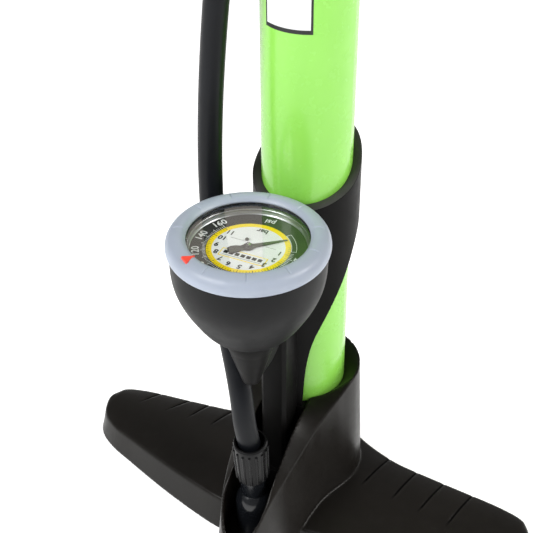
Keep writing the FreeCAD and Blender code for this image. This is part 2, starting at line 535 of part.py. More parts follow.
# -------------------------------------------------------------- plunger group
ROD_Z0 = 46.0
ROD_Z1 = HANDLE_Z + 4.0
save(tube(ROD_R, 4.4, ROD_Z0, ROD_Z1), "piston_rod")
BUMP = CAP_Z1 + 1.6
save(revolve_z([(ROD_R + SNUG, BUMP), (10.0, BUMP), (11.2, BUMP + 1.4), (11.2, BUMP + 5.4), (10.0, BUMP + 6.8),
                (ROD_R + SNUG, BUMP + 6.8)]), "rod_bumper")
PB = BORE_R - SLIP
ps = revolve_z([(0, 30.0), (PB - 2.4, 30.0), (PB - 2.4, 33.0), (PB - 4.2, 33.0), (PB - 4.2, 40.0), (PB - 0.25, 40.0),
                (PB - 0.25, 50.0), (12.0, 52.0), (12.0, 58.0), (ROD_R + SNUG, 58.0), (ROD_R + SNUG, ROD_Z0),
                (0, ROD_Z0)])
save(ps, "piston")
save(revolve_z([(PB - 4.2 + SNUG, 33.05), (PB - 1.2, 33.05), (PB, 32.2), (PB, 38.2), (PB - 0.8, 39.95), (PB - 4.2 + SNUG, 39.95)]),
     "piston_cup")
save(revolve_z([(0, 26.6), (4.6, 26.6), (5.2, 27.2), (5.2, 29.95), (0, 29.95)]), "piston_bolt")

# handle: hub and bar in one moulding, soft grips, end caps, top plug
HUB = BUMP + 6.9
hub = revolve_z([(ROD_R + SNUG, HUB), (12.6, HUB), (13.6, HUB + 2.0), (14.4, HUB + 15.5), (16.5, HANDLE_Z - 6), (16.5, HANDLE_Z + 8),
                 (14.5, HANDLE_Z + 13.0), (8.2, HANDLE_Z + 14.5), (8.2, ROD_Z1 + 0.05), (ROD_R + SNUG, ROD_Z1 + 0.05)])
bar = revolve_x([(-114, 0), (-114, 8.0), (-26.2, 8.0), (-26.0, 12.0), (-22, 13.2), (-12, 14.6), (12, 14.6), (22, 13.2),
                 (26.0, 12.0), (26.2, 8.0), (114, 8.0), (114, 0)], 0, HANDLE_Z)
hd = bar.fuse(hub).cut(cyl(ROD_R + SNUG, 550, ROD_Z1 + 0.05)).cut(cyl(8.2, ROD_Z1 + 0.05, 740))
save(solid(hd), "handle")
TOPZ = HANDLE_Z + 14.5
save(revolve_z([(0, ROD_Z1 + 0.1), (8.15, ROD_Z1 + 0.1), (8.15, TOPZ - 0.3), (7.4, TOPZ + 0.9), (3.0, TOPZ + 1.7), (0, TOPZ + 1.8)]),
     "handle_plug")
for sgn, name in ((-1, "grip_left"), (1, "grip_right")):
    prof = [(26.3, 8.03), (26.3, 13.2), (27.5, 14.4), (31, 14.9), (40, 15.3), (48, 16.4), (58, 17.0), (70, 17.0), (82, 16.2),
            (92, 15.4), (101, 15.4), (108, 16.6), (113, 17.6), (117.5, 17.4), (120.6, 15.2), (HANDLE_HALF, 11.0),
            (HANDLE_HALF, 5.4), (114.03, 5.4), (114.03, 8.03)]
    e1 = spline([(sgn * x, 0, r) for x, r in prof[1:-3]])
    lst = [prof[0], prof[1]]
    edges = [Part.makeLine(V(sgn * prof[0][0], 0, prof[0][1]), V(sgn * prof[1][0], 0, prof[1][1])), e1]
    tail_pts = prof[-4:]
    for p, q in zip(tail_pts[:-1], tail_pts[1:]):
        edges.append(Part.makeLine(V(sgn * p[0], 0, p[1]), V(sgn * q[0], 0, q[1])))
    edges.append(Part.makeLine(V(sgn * prof[-1][0], 0, prof[-1][1]), V(sgn * prof[0][0], 0, prof[0][1])))
    f = Part.Face(Part.Wire(edges))
    g = f.revolve(V(0, 0, 0), V(1, 0, 0), 360)
    g.translate(V(0, 0, HANDLE_Z))
    g = solid(g)
    save(g, name)
    plug = revolve_x([(sgn * 114.05, 0), (sgn * 114.05, 5.35), (sgn * 122.0, 5.35), (sgn * 122.8, 4.4), (sgn * 123.1, 0)], 0, HANDLE_Z)
    if sgn < 0:
        plug_l = plug
    else:
        save(Part.makeCompound([plug_l, plug]), "grip_plugs")

# ------------------------------------------------------------------ hose hook
cr = Part.makeCylinder(LOOP_R + 3.2, 15.0, V(0, LOOP_Y - 7.5, LOOP_Z), V(0, 1, 0))
cr = cr.cut(Part.makeCylinder(LOOP_R - 8.2, 40.0, V(0, LOOP_Y - 20, LOOP_Z), V(0, 1, 0)))
wedge = prism_y = Part.Face(wire([(0, LOOP_Y - 20, LOOP_Z), (-60, LOOP_Y - 20, LOOP_Z + 96), (60, LOOP_Y - 20, LOOP_Z + 96)])).extrude(V(0, 40, 0))
cr = cr.common(wedge)
cr = cr.cut(Part.makeTorus(LOOP_R + 0.25, HOSE_R + 0.45, V(0, LOOP_Y, LOOP_Z), V(0, 1, 0)))
cr = cr.cut(Part.makeCylinder(LOOP_R + 20, 9.6, V(0, LOOP_Y - 4.8, LOOP_Z), V(0, 1, 0)).cut(
    Part.makeCylinder(LOOP_R + 0.25, 12, V(0, LOOP_Y - 6, LOOP_Z), V(0, 1, 0))))
HZ = LOOP_Z + 10.0
hook = tube(CAP_R - 0.4, BARREL_R + SNUG, HZ, HZ + 20.0)
arm = prism_x([(-20.5, HZ + 0.5), (-20.5, HZ + 19.5), (-34, HZ + 29), (-37.6, HZ + 37.5), (-52.2, HZ + 37.5), (-52.2, HZ + 33.5),
               (-44, HZ + 26), (-34, HZ + 10)], -6, 6)
hook = hook.fuse(arm).fuse(cr).cut(cyl(BARREL_R + SNUG, 480, 640))
hook = hook.cut(Part.makeTorus(LOOP_R + 0.25, HOSE_R + 0.45, V(0, LOOP_Y, LOOP_Z), V(0, 1, 0)))
save(solid(hook), "hose_hook")

# ------------------------------------------------------- pump head and its dock
d = sqrt(HEAD_X ** 2 + HEAD_Y ** 2)
ux, uy = HEAD_X / d, HEAD_Y / d
dock = tube(22.0, BARREL_R + SNUG, 357.0, 372.0)
dock = dock.fuse(tube(11.2, 7.55, 359.0, 370.0, HEAD_X, HEAD_Y))
arm = box(20.5, d - 8.4, -4.2, 4.2, 359.5, 369.5)
arm.rotate(V(0, 0, 0), V(0, 0, 1), -degrees(acos(ux)))
dock = dock.fuse(arm)
mouth = box(d + 2.5, d + 30, -5.2, 5.2, 340, 380)
mouth.rotate(V(0, 0, 0), V(0, 0, 1), -degrees(acos(ux)))
dock = dock.cut(mouth).cut(cyl(BARREL_R + SNUG, 300, 400)).cut(cyl(7.55, 300, 400, HEAD_X, HEAD_Y))
save(solid(dock), "head_dock")

fr = revolve_z([(0, 352.0), (7.5, 352.0), (7.5, 374.0), (6.9, 376.2), (6.6, 380.0), (0, 380.0)], HEAD_X, HEAD_Y)
fr = fr.cut(cyl(2.0, 340, 379, HEAD_X, HEAD_Y))
save(fr, "head_ferrule")

PY, PZ = HEAD_Y + 14.0, HEAD_Z          # lever pivot
hb = revolve_z([(0, 306.5), (6.0, 306.5), (8.6, 308.0), (9.6, 311.0), (9.8, 330.0), (8.6, 345.0), (8.6, 350.5),
                (7.6, 352.0), (0, 352.0)], HEAD_X, HEAD_Y)
noz = Part.makeCylinder(10.2, 14.0, V(HEAD_X, HEAD_Y, HEAD_Z), V(0, -1, 0))
noz = noz.makeFillet(0.8, [e for e in noz.Edges if abs(e.BoundBox.YMax - (HEAD_Y - 14)) < 0.01])
hb = hb.fuse(noz)
ears = box(HEAD_X - 7.2, HEAD_X + 7.2, HEAD_Y, PY + 3.8, PZ - 5.0, PZ + 5.0)
ears = ears.fuse(Part.makeCylinder(5.0, 14.4, V(HEAD_X - 7.2, PY, PZ), V(1, 0, 0)))
hb = hb.fuse(ears)
hb = hb.cut(box(HEAD_X - 4.3, HEAD_X + 4.3, PY - 7.4, PY + 12, PZ - 7.6, PZ + 6.2))
hb = hb.cut(box(HEAD_X - 4.3, HEAD_X + 4.3, PY - 4.6, PY + 12, PZ, 360))
hb = hb.cut(Part.makeCylinder(4.0 + SLIP, 40.0, V(HEAD_X, HEAD_Y + 9, HEAD_Z), V(0, -1, 0)))
hb = hb.cut(Part.makeCylinder(7.05, 6.1, V(HEAD_X, HEAD_Y - 8.0, HEAD_Z), V(0, -1, 0)))
hb = hb.cut(cyl(2.0, HEAD_Z, 360, HEAD_X, HEAD_Y))
hb = hb.cut(Part.makeCylinder(1.5 + 0.02, 20, V(HEAD_X - 10, PY, PZ), V(1, 0, 0)))
save(solid(hb), "pump_head_body")

pl = Part.makeCylinder(4.0, 15.4, V(HEAD_X, PY - 5.3, HEAD_Z), V(0, -1, 0))
pl = pl.cut(Part.makeCylinder(1.2, 10.4, V(HEAD_X, PY - 10.3, HEAD_Z), V(0, -1, 0)))
save(solid(pl), "head_plunger")
gk = Part.makeCylinder(7.0, 4.0, V(HEAD_X, HEAD_Y - 9.95, HEAD_Z), V(0, -1, 0)).cut(
    Part.makeCylinder(3.7, 10.0, V(HEAD_X, HEAD_Y - 8, HEAD_Z), V(0, -1, 0)))
save(solid(gk), "head_gasket")
CAP_Y = HEAD_Y - 14.0
hc = Part.makeCylinder(10.6, 10.0, V(HEAD_X, CAP_Y, HEAD_Z), V(0, -1, 0))
hc = hc.makeFillet(1.4, [e for e in hc.Edges if abs(e.BoundBox.YMax - (CAP_Y - 10.0)) < 0.01])
hc = hc.cut(Part.makeCylinder(4.2, 20.0, V(HEAD_X, CAP_Y + 5, HEAD_Z), V(0, -1, 0)))
for i in range(18):
    a = radians(20 * i)
    hc = hc.cut(Part.makeCylinder(0.7, 6.4, V(HEAD_X + 10.9 * cos(a), CAP_Y - 1.0, HEAD_Z + 10.9 * sin(a)), V(0, -1, 0)))
save(solid(hc), "head_cap")

# lever, lies along the hose at rest; a lobe on its root drives the plunger
lv = Part.makeCylinder(5.0, 8.0, V(HEAD_X - 4.0, PY, PZ), V(1, 0, 0))
lv = lv.fuse(Part.makeCylinder(3.5, 8.0, V(HEAD_X - 4.0, PY, PZ - 3.0), V(1, 0, 0)))
arm = prism_x([(PY - 1.8, PZ), (PY + 5.0, PZ), (PY + 5.6, PZ + 12), (PY + 4.6, PZ + 24), (PY + 5.6, PZ + 34), (PY + 4.8, PZ + 36),
               (PY + 2.6, PZ + 36.2), (PY + 1.0, PZ + 33), (PY - 0.6, PZ + 22), (PY - 1.8, PZ + 10)], HEAD_X - 4.0, HEAD_X + 4.0)
paddle = prism_x([(PY + 0.2, PZ + 13), (PY + 5.2, PZ + 13), (PY + 4.6, PZ + 24), (PY + 5.6, PZ + 34), (PY + 4.8, PZ + 36),
                  (PY + 2.6, PZ + 36.2), (PY + 1.0, PZ + 33), (PY - 0.2, PZ + 24)], HEAD_X - 7.0, HEAD_X + 7.0)
lv = lv.fuse(arm).fuse(paddle)
lv = lv.cut(Part.makeCylinder(1.5 + SLIP, 30, V(HEAD_X - 15, PY, PZ), V(1, 0, 0)))
lv = fillet(solid(lv), 1.0, lambda e: e.BoundBox.ZMin > PZ + 14 and e.BoundBox.XMax - e.BoundBox.XMin < 0.01)
save(solid(lv), "head_lever")
save(Part.makeCylinder(1.5, 16.0, V(HEAD_X - 8.0, PY, PZ), V(1, 0, 0)), "lever_pin")
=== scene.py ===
import math

import bpy
import numpy as np
from mathutils import Matrix, Vector


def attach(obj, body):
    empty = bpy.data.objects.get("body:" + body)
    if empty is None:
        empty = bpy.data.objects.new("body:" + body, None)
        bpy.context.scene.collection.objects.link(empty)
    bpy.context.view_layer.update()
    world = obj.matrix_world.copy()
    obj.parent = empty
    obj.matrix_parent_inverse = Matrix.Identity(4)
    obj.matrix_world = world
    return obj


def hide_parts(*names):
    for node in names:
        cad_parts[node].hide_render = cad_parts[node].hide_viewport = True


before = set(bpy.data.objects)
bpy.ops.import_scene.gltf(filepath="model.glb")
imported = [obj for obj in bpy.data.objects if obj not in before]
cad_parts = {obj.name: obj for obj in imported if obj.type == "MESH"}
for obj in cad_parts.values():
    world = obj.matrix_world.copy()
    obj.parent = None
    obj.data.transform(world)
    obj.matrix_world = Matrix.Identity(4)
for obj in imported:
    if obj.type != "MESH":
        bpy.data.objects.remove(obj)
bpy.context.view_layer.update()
scene = bpy.context.scene
scene.view_settings.view_transform = "Standard"
MM = 0.001

# ------------------------------------------------------------------ camera
AZ, EL, ROLL = math.radians(25.7136), math.radians(36.5374), math.radians(-0.6119)
right = Vector((math.cos(AZ), math.sin(AZ), 0))
fwd = Vector((-math.sin(AZ) * math.cos(EL), math.cos(AZ) * math.cos(EL), -math.sin(EL)))
upv = right.cross(fwd)
r2 = right * math.cos(ROLL) + upv * math.sin(ROLL)
u2 = -right * math.sin(ROLL) + upv * math.cos(ROLL)
cam_data = bpy.data.cameras.new("main_camera")
cam_data.sensor_width = 36.0
cam_data.lens = 75.81
cam_data.clip_start = 0.01
cam_data.clip_end = 50
cam = bpy.data.objects.new("main_camera", cam_data)
cam.matrix_world = Matrix(((r2.x, u2.x, -fwd.x, 0.1580448), (r2.y, u2.y, -fwd.y, -0.3680205),
                           (r2.z, u2.z, -fwd.z, 0.4364815), (0, 0, 0, 1)))
scene.collection.objects.link(cam)
scene.camera = cam


# --------------------------------------------------------------- materials
def new_mat(name):
    m = bpy.data.materials.new(name)
    m.use_nodes = True
    nt = m.node_tree
    nt.nodes.clear()
    out = nt.nodes.new("ShaderNodeOutputMaterial")
    b = nt.nodes.new("ShaderNodeBsdfPrincipled")
    nt.links.new(b.outputs[0], out.inputs[0])
    return m, nt, b


def math_node(nt, op, a, b=None, clamp=False):
    n = nt.nodes.new("ShaderNodeMath")
    n.operation = op
    n.use_clamp = clamp
    for i, v in enumerate((a, b)):
        if v is None:
            continue
        if isinstance(v, (int, float)):
            n.inputs[i].default_value = v
        else:
            nt.links.new(v, n.inputs[i])
    return n.outputs[0]


def noise(nt, coord, scale, detail=3.0, rough=0.55):
    n = nt.nodes.new("ShaderNodeTexNoise")
    n.inputs["Scale"].default_value = scale
    n.inputs["Detail"].default_value = detail
    n.inputs["Roughness"].default_value = rough
    nt.links.new(coord, n.inputs["Vector"])
    return n.outputs[0]


def ramp(nt, fac, stops):
    n = nt.nodes.new("ShaderNodeValToRGB")
    while len(n.color_ramp.elements) < len(stops):
        n.color_ramp.elements.new(0.5)
    for e, (p, c) in zip(n.color_ramp.elements, stops):
        e.position = p
        e.color = c if len(c) == 4 else (*c, 1)
    nt.links.new(fac, n.inputs[0])
    return n.outputs[0]


def span(nt, v, a, b, c, d):
    n = nt.nodes.new("ShaderNodeMapRange")
    n.inputs["From Min"].default_value = a
    n.inputs["From Max"].default_value = b
    n.inputs["To Min"].default_value = c
    n.inputs["To Max"].default_value = d
    nt.links.new(v, n.inputs["Value"])
    return n.outputs[0]


def coords(nt):
    t = nt.nodes.new("ShaderNodeTexCoord")
    return t.outputs["Object"]


def mix_rgb(nt, fac, a, b):
    n = nt.nodes.new("ShaderNodeMix")
    n.data_type = "RGBA"
    if isinstance(fac, (int, float)):
        n.inputs[0].default_value = fac
    else:
        nt.links.new(fac, n.inputs[0])
    for i, v in ((6, a), (7, b)):
        if isinstance(v, tuple):
            n.inputs[i].default_value = (*v[:3], 1)
        else:
            nt.links.new(v, n.inputs[i])
    return n.outputs[2]


def surface(name, col, rough=0.45, metal=0.0, var=0.12, patch=35.0, grain=2600.0, bump=0.12, dist=0.00006,
            spec=0.5, coat=0.0, coat_rough=0.1, rvar=0.08, wear=0.0, wear_col=(0.4, 0.4, 0.4), sss=0.0,
            round_edges=0.0, streak=None, sheen=0.0, dust=0.0):
    """A moulded, painted or cast surface: patchy colour, changing gloss, fine grain and a few scuffs."""
    m, nt, b = new_mat(name)
    c = coords(nt)
    big = noise(nt, c, patch, 4.0, 0.6)
    mid = noise(nt, c, patch * 7.3, 5.0, 0.65)
    dark = tuple(v * (1 - var) for v in col)
    light = tuple(min(1.0, v * (1 + var)) for v in col)
    colour = ramp(nt, big, [(0.32, dark), (0.5, col), (0.68, light)])
    if wear:
        scuff = noise(nt, c, patch * 22, 6.0, 0.75)
        fac = span(nt, scuff, 0.66, 0.74, 0.0, wear)
        colour = mix_rgb(nt, fac, colour, wear_col)
    if dust:
        fac = span(nt, mid, 0.52, 0.80, 0.0, dust)
        colour = mix_rgb(nt, fac, colour, (0.35, 0.33, 0.30))
    nt.links.new(colour, b.inputs["Base Color"])
    b.inputs["Metallic"].default_value = metal
    r = span(nt, mid, 0.25, 0.75, max(0.02, rough - rvar), min(1.0, rough + rvar))
    nt.links.new(r, b.inputs["Roughness"])
    b.inputs["Specular IOR Level"].default_value = spec
    if coat:
        b.inputs["Coat Weight"].default_value = coat
        b.inputs["Coat Roughness"].default_value = coat_rough
    if sheen:
        b.inputs["Sheen Weight"].default_value = sheen
        b.inputs["Sheen Roughness"].default_value = 0.45
    if sss:
        b.inputs["Subsurface Weight"].default_value = sss
        b.inputs["Subsurface Radius"].default_value = (0.004, 0.004, 0.005)
        b.inputs["Subsurface Scale"].default_value = 0.6
    n1 = noise(nt, c, grain, 2.0, 0.5)
    n2 = noise(nt, c, grain * 0.18, 3.0, 0.6)
    h = math_node(nt, "ADD", n1, math_node(nt, "MULTIPLY", n2, 0.8))
    if streak:
        w = nt.nodes.new("ShaderNodeTexWave")
        w.wave_type = "BANDS"
        w.bands_direction = streak[0]
        w.inputs["Scale"].default_value = streak[1]
        w.inputs["Distortion"].default_value = streak[2]
        nt.links.new(c, w.inputs["Vector"])
        h = math_node(nt, "ADD", h, math_node(nt, "MULTIPLY", w.outputs["Fac"], streak[3]))
    bp = nt.nodes.new("ShaderNodeBump")
    bp.inputs["Strength"].default_value = bump
    bp.inputs["Distance"].default_value = dist
    nt.links.new(h, bp.inputs["Height"])
    if round_edges:
        bv = nt.nodes.new("ShaderNodeBevel")
        bv.samples = 4
        bv.inputs["Radius"].default_value = round_edges
        nt.links.new(bv.outputs[0], bp.inputs["Normal"])
    nt.links.new(bp.outputs[0], b.inputs["Normal"])
    return m


def srgb(r, g, b):
    def f(v):
        v /= 255.0
        return v / 12.92 if v <= 0.04045 else ((v + 0.055) / 1.055) ** 2.4
    return (f(r), f(g), f(b))


M_BASE = surface("moulded_black", (0.0100, 0.0086, 0.0072), rough=0.35, var=0.16, patch=22, grain=2300, bump=0.16,
                 dist=0.00005, rvar=0.07, wear=0.10, wear_col=(0.06, 0.058, 0.055), dust=0.004, spec=0.20)
M_BRACKET = surface("bracket_black", (0.0056, 0.0054, 0.0052), rough=0.42, var=0.15, patch=30, grain=2800, bump=0.14,
                    dist=0.00005, rvar=0.07, wear=0.12, wear_col=(0.07, 0.07, 0.07), round_edges=0.0005, spec=0.07)
M_CASE = surface("soft_black", (0.0076, 0.0078, 0.0083), rough=0.46, var=0.10, patch=26, grain=3300, bump=0.10,
                 dist=0.00004, rvar=0.05, round_edges=0.0004, spec=0.15)
M_NUT = surface("gloss_black", (0.006, 0.006, 0.0065), rough=0.24, var=0.2, patch=60, grain=3000, bump=0.035, dist=0.00003,
                rvar=0.04, wear=0.05, wear_col=(0.05, 0.05, 0.05), round_edges=0.00035, spec=0.12)
M_FIT = surface("fitting_black", (0.007, 0.008, 0.010), rough=0.18, var=0.2, patch=60, grain=1200, bump=0.10, dist=0.00004,
                rvar=0.06, round_edges=0.0003)
M_HOSE = surface("hose_rubber", (0.0052, 0.0060, 0.0080), rough=0.38, var=0.15, patch=40, grain=1500, bump=0.2, dist=0.00006,
                 rvar=0.08, dust=0.006, spec=0.18)
M_RING = surface("ring_rubber", srgb(166, 175, 190), rough=0.42, var=0.05, patch=40, grain=1800, bump=0.10, dist=0.00006,
                 rvar=0.07, sss=0.18, dust=0.03)
M_MARK = surface("marker_red", srgb(250, 76, 56), rough=0.42, var=0.08, patch=120, grain=2200, bump=0.08, rvar=0.06)
M_RUBBER = surface("pad_rubber", (0.02, 0.02, 0.02), rough=0.7, var=0.2, patch=60, grain=1500, bump=0.3, dist=0.0001, dust=0.15)
M_STEEL = surface("bright_steel", (0.62, 0.62, 0.63), rough=0.24, metal=1.0, var=0.08, patch=60, grain=700, bump=0.06,
                  dist=0.00003, rvar=0.08)
M_ROD = surface("rod_steel", (0.66, 0.66, 0.67), rough=0.17, metal=1.0, var=0.06, patch=30, grain=500, bump=0.05, dist=0.00002,
                rvar=0.07, streak=("Z", 900.0, 1.5, 0.35))
M_BRASS = surface("brass", (0.71, 0.50, 0.22), rough=0.3, metal=1.0, var=0.12, patch=80, grain=1500, bump=0.08, dist=0.00004,
                  rvar=0.1)
M_POM = surface("natural_plastic", (0.62, 0.61, 0.56), rough=0.5, var=0.06, patch=60, grain=2500, bump=0.1, sss=0.1)
M_CAP = surface("cap_black", (0.012, 0.012, 0.013), rough=0.42, var=0.15, patch=40, grain=2600, bump=0.15, dist=0.00005,
                wear=0.2, wear_col=(0.07, 0.07, 0.07), round_edges=0.0005)
M_HANDLE = surface("handle_black", (0.013, 0.013, 0.013), rough=0.40, var=0.15, patch=30, grain=2400, bump=0.15, dist=0.00005,
                   wear=0.2, wear_col=(0.07, 0.07, 0.07), round_edges=0.0006)
M_HEAD = surface("head_grey", (0.045, 0.047, 0.052), rough=0.38, var=0.12, patch=60, grain=2600, bump=0.12, dist=0.00004,
                 round_edges=0.0004)
M_LEVER = surface("lever_grey", srgb(150, 158, 172), rough=0.38, var=0.07, patch=60, grain=2600, bump=0.1, round_edges=0.0004)
M_BLACKPLATE = surface("dial_black", (0.016, 0.017, 0.017), rough=0.5, var=0.1, patch=120, grain=3000, bump=0.03)
M_WHITE = surface("dial_white", (0.86, 0.87, 0.89), rough=0.5, var=0.02, patch=160, grain=3000, bump=0.03)
M_YELLOW = surface("dial_yellow", srgb(255, 224, 0), rough=0.5, var=0.03, patch=160, grain=3000, bump=0.03)
M_INK = surface("dial_ink", (0.012, 0.012, 0.013), rough=0.5, var=0.1, patch=200, grain=3000, bump=0.03)
M_GREYINK = surface("dial_grey_ink", (0.42, 0.42, 0.43), rough=0.5, var=0.1, patch=200, grain=3000, bump=0.03)
M_NEEDLE = surface("needle_grey", (0.085, 0.083, 0.078), rough=0.4, var=0.12, patch=150, grain=2500, bump=0.05)
M_CHROME = surface("rim_chrome", (0.46, 0.48, 0.50), rough=0.34, metal=1.0, var=0.08, patch=70, grain=900, bump=0.03,
                   dist=0.00002, rvar=0.05)
M_GASKET = surface("gasket_black", (0.008, 0.009, 0.011), rough=0.3, var=0.1, patch=100, grain=2500, bump=0.05)


def green_paint():
    m, nt, b = new_mat("barrel_green")
    c = coords(nt)
    big = noise(nt, c, 14, 3.0, 0.5)
    colour = ramp(nt, big, [(0.3, srgb(144, 220, 82)), (0.7, srgb(152, 227, 92))])
    flake = noise(nt, c, 5200, 2.0, 0.5)
    colour = mix_rgb(nt, span(nt, flake, 0.60, 0.75, 0.0, 0.10), colour, (0.75, 0.95, 0.45))
    nt.links.new(colour, b.inputs["Base Color"])
    b.inputs["Metallic"].default_value = 0.0
    mid = noise(nt, c, 160, 4.0, 0.6)
    nt.links.new(span(nt, mid, 0.3, 0.7, 0.22, 0.30), b.inputs["Roughness"])
    b.inputs["Coat Weight"].default_value = 0.22
    b.inputs["Coat Roughness"].default_value = 0.06
    peel = noise(nt, c, 420, 2.0, 0.5)
    bp = nt.nodes.new("ShaderNodeBump")
    bp.inputs["Strength"].default_value = 0.02
    bp.inputs["Distance"].default_value = 0.00006
    nt.links.new(peel, bp.inputs["Height"])
    nt.links.new(bp.outputs[0], b.inputs["Normal"])
    return m


def grip_rubber():
    m, nt, b = new_mat("grip_rubber")
    c = coords(nt)
    sep = nt.nodes.new("ShaderNodeSeparateXYZ")
    nt.links.new(c, sep.inputs[0])
    colour = ramp(nt, noise(nt, c, 45, 4.0, 0.6), [(0.3, (0.012, 0.012, 0.012)), (0.7, (0.021, 0.021, 0.021))])
    nt.links.new(colour, b.inputs["Base Color"])
    nt.links.new(span(nt, noise(nt, c, 300, 4.0, 0.6), 0.3, 0.7, 0.55, 0.75), b.inputs["Roughness"])
    ribs = math_node(nt, "SINE", math_node(nt, "MULTIPLY", sep.outputs[0], 2 * math.pi / 0.0042))
    ribs = span(nt, ribs, -0.2, 0.6, 0.0, 1.0)
    inside = math_node(nt, "ABSOLUTE", math_node(nt, "SUBTRACT", math_node(nt, "ABSOLUTE", sep.outputs[0]), 0.074))
    inside = span(nt, inside, 0.030, 0.034, 1.0, 0.0)
    h = math_node(nt, "ADD", math_node(nt, "MULTIPLY", ribs, inside), math_node(nt, "MULTIPLY", noise(nt, c, 2200), 0.10))
    bp = nt.nodes.new("ShaderNodeBump")
    bp.inputs["Strength"].default_value = 0.8
    bp.inputs["Distance"].default_value = 0.0006
    nt.links.new(h, bp.inputs["Height"])
    nt.links.new(bp.outputs[0], b.inputs["Normal"])
    return m


def clear_pane():
    m = bpy.data.materials.new("gauge_glass")
    m.use_nodes = True
    nt = m.node_tree
    nt.nodes.clear()
    out = nt.nodes.new("ShaderNodeOutputMaterial")
    tr = nt.nodes.new("ShaderNodeBsdfTransparent")
    tr.inputs[0].default_value = (0.985, 0.99, 0.985, 1)
    gl = nt.nodes.new("ShaderNodeBsdfPrincipled")
    gl.inputs["Base Color"].default_value = (1, 1, 1, 1)
    gl.inputs["Metallic"].default_value = 1.0
    c = coords(nt)
    smear = noise(nt, c, 90, 4.0, 0.7)
    nt.links.new(span(nt, smear, 0.35, 0.75, 0.012, 0.05), gl.inputs["Roughness"])
    bp = nt.nodes.new("ShaderNodeBump")
    bp.inputs["Strength"].default_value = 0.02
    bp.inputs["Distance"].default_value = 0.00005
    nt.links.new(noise(nt, c, 260, 2.0, 0.5), bp.inputs["Height"])
    nt.links.new(bp.outputs[0], gl.inputs["Normal"])
    fr = nt.nodes.new("ShaderNodeFresnel")
    fr.inputs["IOR"].default_value = 1.72
    geo = nt.nodes.new("ShaderNodeNewGeometry")
    front = math_node(nt, "SUBTRACT", 1.0, geo.outputs["Backfacing"])
    fac = math_node(nt, "MULTIPLY", fr.outputs[0], front)
    mx = nt.nodes.new("ShaderNodeMixShader")
    nt.links.new(fac, mx.inputs[0])
    nt.links.new(tr.outputs[0], mx.inputs[1])
    nt.links.new(gl.outputs[0], mx.inputs[2])
    nt.links.new(mx.outputs[0], out.inputs[0])
    return m


M_GREEN = green_paint()
M_GRIP = grip_rubber()
M_GLASS = clear_pane()

PAINT = {
    "foot_pads": M_RUBBER, "barrel": M_GREEN, "base_seal": M_RUBBER, "valve_body": M_BRASS, "check_ball": M_STEEL,
    "check_spring": M_STEEL, "hose_fitting": M_FIT, "hose_nut": M_NUT, "gauge_bracket": M_BRACKET, "bracket_screws": M_STEEL,
    "air_line": M_POM, "gauge_case": M_CASE, "bezel_ring": M_RING, "target_marker": M_MARK, "gauge_crystal": M_GLASS,
    "dial_plate": M_BLACKPLATE, "gauge_needle": M_NEEDLE, "movement": M_BRASS, "gauge_socket": M_BRASS,
    "bourdon_tube": M_BRASS, "top_cap": M_CAP, "rod_bushing": M_POM, "piston_rod": M_ROD, "rod_bumper": M_RUBBER,
    "piston": M_POM, "piston_cup": M_RUBBER, "piston_bolt": M_STEEL, "handle": M_HANDLE, "handle_plug": M_RING,
    "grip_left": M_GRIP, "grip_right": M_GRIP, "grip_plugs": M_LEVER, "hose_hook": M_HANDLE, "head_dock": M_HANDLE,
    "head_ferrule": M_NUT, "pump_head_body": M_HEAD, "head_plunger": M_POM, "head_gasket": M_RUBBER, "head_cap": M_NUT,
    "head_lever": M_LEVER, "lever_pin": M_STEEL, "base": M_BASE, "hose": M_HOSE, "dial_rim": M_CHROME,
}
for n, m in PAINT.items():
    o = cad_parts.get(n)
    if o:
        o.data.materials.clear()
        o.data.materials.append(m)


# ------------------------------------------------------------------- helpers
def mesh_object(name, verts, faces, mats, smooth=True, index=None):
    me = bpy.data.meshes.new(name)
    me.from_pydata([tuple(v) for v in verts], [], [tuple(int(i) for i in f) for f in faces])
    for m in (mats if isinstance(mats, (list, tuple)) else [mats]):
        me.materials.append(m)
    if index is not None:
        me.polygons.foreach_set("material_index", np.array(index, np.int32))
    me.polygons.foreach_set("use_smooth", np.full(len(me.polygons), smooth))
    me.update()
    o = bpy.data.objects.new(name, me)
    scene.collection.objects.link(o)
    return o


# ---------------------------------------------------------------------- hose
K = 22.3675
ROUTE = [
    (0.1, -57.75, 79.0), (-2.0, -58.9, 92.0), (-4.1, -56.6, 104.5), (-8.2, -52.4, 116.5), (-13.6, -47.2, 128.5),
    (-20.0, -40.8, 141.5), (-25.7, -34.6, 158.0), (-30.4, -28.6, 182.0), (-31.8, -25.0, 212.0), (-28.6, -25.2, 252.0), (-23.2, -26.2, 292.0), (-21.6, -29.8, 334.0),
    (-27.2, -34.6, 378.0), (-39.5, -39.6, 424.0), (-50.0, -43.4, 470.0), (-54.4, -45.2, 520.0), (-54.0, -45.0, 543.0 + K),
    (-K, -45.01, 597.0), (K, -45.01, 597.0), (54.0, -45.0, 543.0 + K), (54.6, -45.4, 518.0), (55.4, -42.0, 474.0),
    (50.6, -32.6, 434.0), (44.0, -22.0, 403.0), (44.0, -22.0, 380.0),
]
hc = bpy.data.curves.new("pump_hose", "CURVE")
hc.dimensions = "3D"
sp = hc.splines.new("NURBS")
sp.points.add(len(ROUTE) - 1)
for p, (x, y, z) in zip(sp.points, ROUTE):
    p.co = (x * MM, y * MM, z * MM, 1)
sp.order_u = 3
sp.use_endpoint_u = True
hc.resolution_u = 24
hc.bevel_depth = 0.005
hc.bevel_resolution = 8
hc.use_fill_caps = True
hc.materials.append(M_HOSE)
hose = bpy.data.objects.new("pump_hose", hc)
scene.collection.objects.link(hose)
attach(hose, "stand")
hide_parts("hose")


